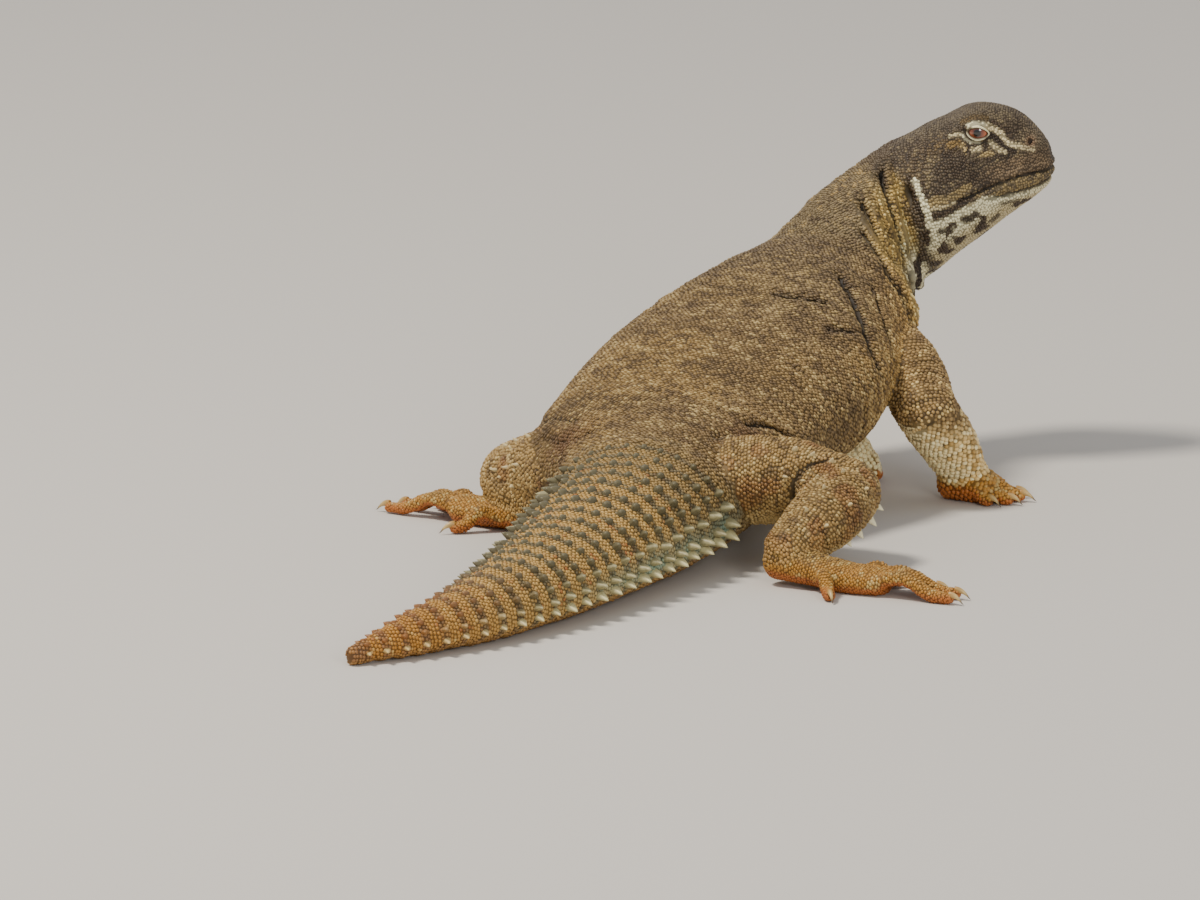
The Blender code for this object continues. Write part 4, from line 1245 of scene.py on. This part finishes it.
def leg_spine_rows(joints, thickness, side):
    """Roots, lies and sizes of the pointed scales of a hind leg, and how white each is."""
    rows = []
    thigh, knee, ankle = (np.array(joints[k], float) for k in (1, 2, 4))
    for start, end, size in ((thigh, knee, thickness[0][1][0]), (knee, ankle, thickness[1][1][0])):
        axis = unit(end - start)
        back = unit(np.array((-1.0, 0, 0)) + axis * axis[0])
        top = np.cross(axis, back)
        top = top if top[2] > 0 else -top
        for share in (0.15, 0.45, 0.75):
            for turn in (math.radians(20), math.radians(65)):
                out = back * math.cos(turn) + top * math.sin(turn)
                root = start + (end - start) * share + out * (size - 0.9)
                rows.append((*root, *unit(out + axis * 0.5), *axis, 0.75, 1.7, 0.25))
    out = unit(np.array((0.45, side * 0.8, -0.35)))
    for share, size in ((0.02, 2.5), (0.2, 2.9), (0.38, 2.6), (0.54, 2.0)):
        root = knee + (ankle - knee) * share + out * 8.5
        rows.append((*root, *unit(out + (ankle - knee) / 60), *unit(ankle - knee), size * 0.42, size, 1.0))
    return np.array(rows)


# ---- eyes, lids and claws ----


def eye_points(sign, radius, away, around):
    """Points at an angle away from the eye's outward axis, and round it from ahead over the top."""
    out = np.column_stack([
        np.sin(away) * np.cos(around),
        np.cos(away) * sign * np.ones_like(around),
        np.sin(away) * np.sin(around),
    ])
    return from_head(EYE * (1, sign, 1) + radius[:, None] * out)


def lid_opening(around):
    """How far the lids' edge is from the eye's axis: long, low and tilted."""
    x, z = np.cos(around + EYE_TILT), np.sin(around + EYE_TILT)
    wide = np.where(x > 0, 43, 37)
    high = np.where(z > 0, 19, 21)
    return np.radians(((np.abs(x) / wide) ** 1.7 + (np.abs(z) / high) ** 1.7) ** (-1 / 1.7))


def make_eye(hand, sign):
    """The eyeball, with a round pupil, a red-brown iris that is orange in front, and a dark rim."""
    bpy.ops.object.select_all(action="DESELECT")
    centre = (from_head(EYE * (1, sign, 1)) + SHIFT) * MM
    bpy.ops.mesh.primitive_uv_sphere_add(segments=64, ring_count=40, radius=EYE_RADIUS * MM, location=centre)
    ball = bpy.context.active_object
    outward = Vector(HEAD_TURN[:, 1] * sign)
    ball.rotation_mode = "QUATERNION"
    ball.rotation_quaternion = outward.to_track_quat("Z", "Y")
    bpy.ops.object.transform_apply(location=True, rotation=True, scale=True)
    bpy.ops.object.shade_smooth()
    ball.name = ball.data.name = f"eyeball_{hand}"
    own = to_head(points_of(ball)) - EYE * (1, sign, 1)
    away = np.degrees(np.arccos(np.clip(own[:, 1] * sign / np.linalg.norm(own, axis=1), -1, 1)))
    around = np.arctan2(own[:, 2], own[:, 0])
    threads = np.column_stack([np.cos(around) * 9, np.sin(around) * 9, away * 0.08])
    fibre, front = 0.85 + 0.3 * soft_noise(threads, 1.0, 7), np.cos(around)
    colour = mix(IRIS * fibre[:, None], IRIS_EDGE, step_up(away, 18, 27) * 0.6)
    colour = mix(colour, IRIS_FRONT, step_up(away, 28, 34) * step_up(front, 0.1, 0.7))
    colour = mix(colour, EYE_RIM, step_up(away, 33, 40) * (1 - 0.8 * step_up(front, 0.2, 0.7)))
    colour = mix(colour, PUPIL, 1 - step_up(away, 14.5, 17))
    paint(ball.data, np.clip(colour, 0, 1))
    return ball


def make_lids(hand, sign):
    """Both lids as one shell round the eye, open over it, with a thick soft edge and fine folds."""
    sides, rings = 120, 22
    around = np.arange(sides) * TURN / sides
    opening = lid_opening(around)
    x, z = np.cos(around + EYE_TILT), np.sin(around + EYE_TILT)
    reach = np.radians(13 + 3 * np.clip(z, 0, 1))
    points, tints = [], []
    for j in range(rings):
        share = j / (rings - 1)
        away = opening + reach * share
        edge = math.exp(-((share / 0.12) ** 2))
        swell = 0.50 * math.sin(math.pi * min(1.0, share * 1.15)) ** 0.8
        groove = 0.16 * math.exp(-(((share - 0.62) / 0.06) ** 2))
        groove += 0.10 * math.exp(-(((share - 0.33) / 0.05) ** 2))
        grain = 0.05 * np.sin(around * 31 + j * 2.1) * min(1.0, 3 * share)
        radius = EYE_RADIUS + 0.12 + swell + 0.12 * edge - groove + grain - 0.55 * max(0.0, share - 0.7)
        points.append(eye_points(sign, radius, away, around))
        above = step_up(share, 0.12, 0.3) * step_up(z + 0.5 * x, 0.1, 0.6)
        under = np.exp(-(((share - 0.45) / 0.26) ** 2)) * step_up(-z - 0.2 * x, 0.1, 0.5) * 0.9
        pale = np.clip(above + under, 0, 1)
        tint = mix(SMOKE * 0.9, CHALK * 1.05, pale)
        # Painted shade along the edge, where the lid meets the eyeball.
        tints.append(mix(tint, UMBER * 1.2, np.full(sides, 0.85 * edge)))
    # The inner sheet that closes the shell is painted umber as shade.
    for share in (1.0, 0.5, 0.0):
        inside = np.full(sides, EYE_RADIUS - 0.25)
        points.append(eye_points(sign, inside, opening + 0.02 + reach * share, around))
        tints.append(np.broadcast_to(UMBER, (sides, 3)))
    points = np.array(points)
    total = len(points)
    k = np.arange(sides)
    faces = []
    for j in range(total):
        a, b = j * sides + k, j * sides + (k + 1) % sides
        c, d = ((j + 1) % total) * sides + (k + 1) % sides, ((j + 1) % total) * sides + k
        faces.append(np.column_stack([a, b, c, d] if sign > 0 else [d, c, b, a]))
    return mesh_object(f"eyelids_{hand}", points.reshape(-1, 3), np.vstack(faces), np.vstack(tints))


def make_claws(name, claws):
    """Curved, pointed claws, each from its toe's tip."""
    points, faces, colours = [], [], []
    sides, rings = 10, 12
    k = np.arange(sides)
    for root, direction, radius in claws:
        across = np.cross(UP, direction)
        first = sum(len(p) for p in points)
        made = []
        for j in range(rings):
            share = j / rings
            drop = (radius * 1.1 - 0.35) * share ** 2.2
            out = CLAW_LENGTH * share * (1 - 0.08 * share) - 0.7
            centre = root + direction * out + UP * (0.25 * math.sin(math.pi * share) - drop)
            size = CLAW_RADIUS * (1 - share) ** 0.75 * 0.92 + 0.03
            turns = k * TURN / sides
            ring = np.outer(np.sin(turns) * size * 0.8, across) + np.outer(np.cos(turns) * size, UP)
            made.append(centre + ring)
        tip = root + direction * (CLAW_LENGTH * 0.93 - 0.5) - UP * (radius * 1.1 - 0.35)
        points += [np.vstack(made), made[0].mean(axis=0)[None], tip[None]]
        for j in range(rings - 1):
            a, b = first + j * sides + k, first + j * sides + (k + 1) % sides
            faces += [np.column_stack([a, b, b + sides]), np.column_stack([a, b + sides, a + sides])]
        base, end, top = first + rings * sides, first + rings * sides + 1, first + (rings - 1) * sides
        faces.append(np.column_stack([np.full(sides, base), first + (k + 1) % sides, first + k]))
        faces.append(np.column_stack([np.full(sides, end), top + k, top + (k + 1) % sides]))
        shade = np.repeat(np.linspace(0, 1, rings), sides)
        horn = mix(ORANGE * 0.7, STRAW * 0.9, shade * 1.6)
        horn = mix(horn, UMBER * 2.5, step_up(shade, 0.75, 1.0))
        colours += [horn, np.array([ORANGE * 0.6]), np.array([UMBER * 2.0])]
    points = np.vstack(points)
    points[:, 2] = np.maximum(points[:, 2], 0.05)
    return mesh_object(name, points, np.vstack(faces), np.vstack(colours))


# ---- materials ----


def hide_material(name, roughness, bump, grain_size, specular=0.4, depth=0.3):
    """A finish that reads the markings, varied by fine noise in colour, roughness and relief."""
    made = bpy.data.materials.new(name)
    made.use_nodes = True
    nodes, links = made.node_tree.nodes, made.node_tree.links
    shader = nodes["Principled BSDF"]
    marking = nodes.new("ShaderNodeAttribute")
    marking.attribute_name = "marking"
    where = nodes.new("ShaderNodeTexCoord")
    grain = nodes.new("ShaderNodeTexNoise")
    grain.inputs["Scale"].default_value = 1000 / grain_size
    grain.inputs["Detail"].default_value = 5.0
    links.new(where.outputs["Object"], grain.inputs["Vector"])
    shade = nodes.new("ShaderNodeMapRange")
    shade.inputs["To Min"].default_value = 0.72
    shade.inputs["To Max"].default_value = 1.28
    links.new(grain.outputs["Fac"], shade.inputs["Value"])
    tint = nodes.new("ShaderNodeVectorMath")
    tint.operation = "SCALE"
    links.new(marking.outputs["Color"], tint.inputs[0])
    links.new(shade.outputs["Result"], tint.inputs["Scale"])
    links.new(tint.outputs["Vector"], shader.inputs["Base Color"])
    rough = nodes.new("ShaderNodeMapRange")
    rough.inputs["To Min"].default_value = roughness - 0.08
    rough.inputs["To Max"].default_value = roughness + 0.08
    links.new(grain.outputs["Fac"], rough.inputs["Value"])
    links.new(rough.outputs["Result"], shader.inputs["Roughness"])
    relief = nodes.new("ShaderNodeBump")
    relief.inputs["Strength"].default_value = bump
    relief.inputs["Distance"].default_value = depth * MM
    links.new(grain.outputs["Fac"], relief.inputs["Height"])
    links.new(relief.outputs["Normal"], shader.inputs["Normal"])
    shader.inputs["Specular IOR Level"].default_value = specular
    return made


def eye_material():
    made = bpy.data.materials.new("wet_eye")
    made.use_nodes = True
    nodes, links = made.node_tree.nodes, made.node_tree.links
    shader = nodes["Principled BSDF"]
    marking = nodes.new("ShaderNodeAttribute")
    marking.attribute_name = "marking"
    links.new(marking.outputs["Color"], shader.inputs["Base Color"])
    shader.inputs["Roughness"].default_value = 0.12
    shader.inputs["Specular IOR Level"].default_value = 0.6
    shader.inputs["Coat Weight"].default_value = 1.0
    shader.inputs["Coat Roughness"].default_value = 0.02
    return made


def place_piece(piece, slot, material, *nodes):
    """Gives a piece its material and body, and hides the nodes that it replaces. The slot is not used."""
    piece.data.materials.clear()
    piece.data.materials.append(material)
    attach(piece, "root")
    if nodes:
        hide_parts(*nodes)


# ---- floor, light and camera ----

# The picture's size, its pixels to a millimetre, the focal length in pixels, and where it shows the origin
PICTURE = (1200, 900)
PIXELS = 3.8
FOCUS = 38000.0
AIM = (665.0, 552.0)
CAMERA_TURN = math.radians(-60)
CAMERA_LIFT = math.radians(12)
SENSOR = 36.0


def make_camera():
    """The camera of the photo: behind the animal's right side, looking a little down."""
    turn, lift, far = CAMERA_TURN, CAMERA_LIFT, FOCUS / PIXELS
    back = np.array((math.sin(turn) * math.cos(lift), -math.cos(turn) * math.cos(lift), math.sin(lift)))
    right = np.array((math.cos(turn), math.sin(turn), 0.0))
    up = np.cross(back, right)
    place = back * far - right * ((AIM[0] - PICTURE[0] / 2) / PIXELS)
    place = place - up * ((PICTURE[1] / 2 - AIM[1]) / PIXELS) + SHIFT
    data = bpy.data.cameras.new("camera")
    data.sensor_width = SENSOR
    data.lens = FOCUS / PICTURE[0] * SENSOR
    data.clip_start = 0.1
    data.clip_end = 100.0
    camera = bpy.data.objects.new("camera", data)
    bpy.context.scene.collection.objects.link(camera)
    camera.matrix_world = Matrix((
        (right[0], up[0], back[0], place[0] * MM),
        (right[1], up[1], back[1], place[1] * MM),
        (right[2], up[2], back[2], place[2] * MM),
        (0, 0, 0, 1),
    ))
    bpy.context.scene.camera = camera


def make_light(name, direction, distance, size, power, tint=(1, 1, 1)):
    data = bpy.data.lights.new(name, "AREA")
    data.shape = "DISK"
    data.size = size
    data.energy = power
    data.color = tint
    light = bpy.data.objects.new(name, data)
    bpy.context.scene.collection.objects.link(light)
    way = Vector(direction).normalized()
    light.location = way * distance
    light.rotation_mode = "QUATERNION"
    light.rotation_quaternion = way.to_track_quat("Z", "Y")


def make_studio():
    bpy.ops.object.select_all(action="DESELECT")
    bpy.ops.mesh.primitive_plane_add(size=8.0, location=(0, 0, 0))
    floor = bpy.context.active_object
    floor.name = "studio_floor"
    made = bpy.data.materials.new("floor_paint")
    made.use_nodes = True
    shader = made.node_tree.nodes["Principled BSDF"]
    shader.inputs["Base Color"].default_value = (0.62, 0.58, 0.52, 1)
    shader.inputs["Roughness"].default_value = 0.85
    floor.data.materials.append(made)
    world = bpy.data.worlds.new("studio")
    world.use_nodes = True
    world.node_tree.nodes["Background"].inputs["Color"].default_value = (0.93, 0.95, 1.0, 1)
    world.node_tree.nodes["Background"].inputs["Strength"].default_value = 0.55
    bpy.context.scene.world = world
    make_light("key", (-0.35, 0.35, 1.0), 1.6, 0.35, 26, (1.0, 0.95, 0.87))
    make_light("fill", (-1.0, -1.2, 0.6), 1.8, 0.5, 9)


# ---- the animal ----


def clear_of_others(spots, forms):
    """The roots without those of later forms where they meet earlier ones."""
    kept = np.ones(len(spots.points), bool)
    laid = [spots.points[spots.form == 0]]
    for number in range(1, len(forms)):
        own = np.flatnonzero(spots.form == number)
        if not len(own):
            continue
        old = tree_of(np.vstack(laid))
        free = np.array([old.find(spots.points[k])[2] > 0.72 * spots.gap[k] for k in own])
        kept[own[~free]] = False
        laid.append(spots.points[own[free]])
    return spots.take(kept)


def clear_of_holes(spots):
    """The roots that lie clear of the eyes, nostrils, ears and the lines of the mouth and jaw."""
    own = to_head(spots.points)
    own[:, 1] = np.abs(own[:, 1])
    ahead, _, height = own.T
    away = own - EYE
    reach = np.linalg.norm(away, axis=1)
    angle = np.arccos(np.clip(away[:, 1] / reach, -1, 1))
    lids = lid_opening(np.arctan2(away[:, 2], away[:, 0])) + math.radians(11)
    bare = (reach < EYE_RADIUS + 3) & (angle < lids)
    bare |= bump_at(own, EAR, (1.0, 4, 2.5)) > 0.4
    bare |= bump_at(own, NOSTRIL, (0.75, 3, 0.8)) > 0.4
    bare |= (ahead > 17) & (np.abs(line_gap(ahead, height, MOUTH_LINE)) < 0.5)
    bare |= (ahead > 23) & (np.abs(line_gap(ahead, height, JAW_LINE)) < 0.4)
    return spots.take(~(bare & (spots.region == REGIONS.index("head"))))


def coat_piece(name, slot, near, material, seed, body_range=None):
    """One piece of the coat, with a scale on each root."""
    random = np.random.default_rng(seed)
    count = len(near.points)
    tables = (LONG, WIDE, STANDS)
    long, wide, high = (np.array([table[region] for region in REGIONS])[near.region] for table in tables)
    sizes = near.gap * random.uniform(0.90, 1.12, count)
    stands = high * random.uniform(0.75, 1.3, count) * near.gap
    looks = (markings(near, seed), chart(near, body_range))
    coat = Coat()
    coat.add(near.points, near.normals, near.lies, sizes * long * 1.05, sizes * wide, stands, *looks)
    place_piece(coat.build(name, bead_shape()), slot, material)


def lay_coat(spots, forms, material):
    """The scales, in pieces along the body and one for each leg and foot."""
    cuts = (
        ("tail_scales_end", "tail", 0, 95),
        ("tail_scales_root", "tail", 95, TAIL_END + 8),
        ("trunk_scales_rear", "torso", TAIL_END + 8, TAIL_END + 50),
        ("trunk_scales_middle", "torso", TAIL_END + 50, TAIL_END + 90),
        ("trunk_scales_front", "torso", TAIL_END + 90, NECK_START),
        ("neck_scales", "neck", NECK_START, NECK_END),
        ("head_scales", "head", NECK_END, NECK_END + 60),
    )
    seed = 100
    for name, slot, low, high in cuts:
        chosen = (spots.form == 0) & (spots.place >= low) & (spots.place < high)
        coat_piece(name, slot, spots.take(chosen), material, seed, (low, high))
        seed += 1
    for part, slot in (("leg", "legs"), ("foot", "feet")):
        for limb in (f"hind{part}_right", f"hind{part}_left", f"fore{part}_right", f"fore{part}_left"):
            numbers = [k for k, form in enumerate(forms) if form.name.startswith(limb)]
            chosen = np.isin(spots.form, numbers)
            coat_piece(f"{limb}_scales", slot, spots.take(chosen), material, seed)
            seed += 1


def grow_spines(surface, material):
    """The whorls of spines on the tail and the pointed scales of the hind legs."""
    rows = tail_spine_rows()
    roots, _, _ = project(surface, rows[:, :3], 4.0)
    along, high, turn, place, edge, side = rows[:, 9:15].T
    tip = step_up(-place, -70, -16)
    grey = mix(MOSS * (0.75, 0.85, 0.95), RUST, 0.8 * tip)
    pale = mix(CREAM * (0.92, 1.0, 0.95), STRAW, tip)
    tint = mix(grey, pale, np.maximum(0.9 * side, 0.45 * step_up(edge, 0.62, 0.95)))
    uvs = np.column_stack([0.01 + 0.98 * place / (TAIL_END + 20), 0.01 + 0.98 * turn / TURN])
    coat = Coat()
    coat.add(roots, rows[:, 3:6], rows[:, 6:9], along * 1.15, along * 1.05, high, tint, uvs, 0.3)
    # The spines get painted shade at their roots and painted light at their tips.
    place_piece(coat.build("tail_spines", spine_shape(), 0.72, 1.18), "tail", material)
    for hand, side in (("right", -1), ("left", 1)):
        rows = leg_spine_rows(HIND_JOINTS[hand], HIND_THICKNESS, side)
        roots, normals, _ = project(surface, rows[:, :3], 9.0)
        ways, (wide, high) = unit_rows(rows[:, 3:6] + normals), rows[:, 9:11].T
        tint = mix(STRAW * 0.8, CHALK * 0.95, rows[:, 11])
        uvs = np.column_stack([(np.arange(len(rows)) + 0.5) / len(rows), np.full(len(rows), 0.5)])
        coat = Coat()
        coat.add(roots, ways, rows[:, 6:9], wide * 1.2, wide, high, tint, uvs, 0.2)
        # These spines too get painted shade at the root and painted light at the tip.
        place_piece(coat.build(f"hindleg_{hand}_spines", spine_shape(), 0.75, 1.1), "legs", material)


def main():
    _, claws = every_form(0.0)
    forms, _ = every_form(-COAT)
    skin = make_skin(forms)
    print("skin", len(skin.data.polygons))
    spots = Spots(np.vstack([lattice(form, k) for k, form in enumerate(forms)]), forms)
    near = nearest_spots(spots, tree_of(spots.points), points_of(skin))
    near.normals = normals_of(skin)
    near.points = fold_skin(skin, near)
    # The skin between the scales is painted darker as shade, darker still in the creases.
    crease_shade = step_up(folds(near)[1], 0.02, 0.3)[:, None]
    paint(skin.data, markings(near, 900, 0.35) * (0.42 - 0.22 * crease_shade))
    faces = triangles_of(skin)
    tree = BVHTree.FromPolygons(near.points.tolist(), faces.tolist())
    surface = (tree, near.points, faces, normals_of(skin))

    hide = hide_material("scaly_hide", 0.62, 0.5, 1.1, 0.35, depth=0.35)
    scale = hide_material("horny_scale", 0.50, 0.35, 0.5, 0.45, depth=0.12)
    spine = hide_material("horny_spine", 0.46, 0.4, 0.8, 0.45, depth=0.2)
    horn = hide_material("claw_horn", 0.34, 0.3, 1.4, 0.5, depth=0.1)
    flesh = [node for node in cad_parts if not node.startswith("eye")]
    place_piece(skin, "torso", hide, *flesh)

    spots.points, spots.normals, on_skin = project(surface, spots.points, 1.7)
    spots = clear_of_others(spots.take(on_skin), forms)
    print("roots", len(spots.points))
    spots = clear_of_holes(spots)
    lay_coat(spots, forms, scale)
    grow_spines(surface, spine)
    wet = eye_material()
    for hand, sign in (("left", 1), ("right", -1)):
        place_piece(make_eye(hand, sign), "eye", wet, f"eye_{hand}")
        place_piece(make_lids(hand, sign), "head", scale)
    for foot, roots in claws.items():
        place_piece(make_claws(f"{foot}_claws", roots), "feet", horn)


main()
make_studio()
make_camera()
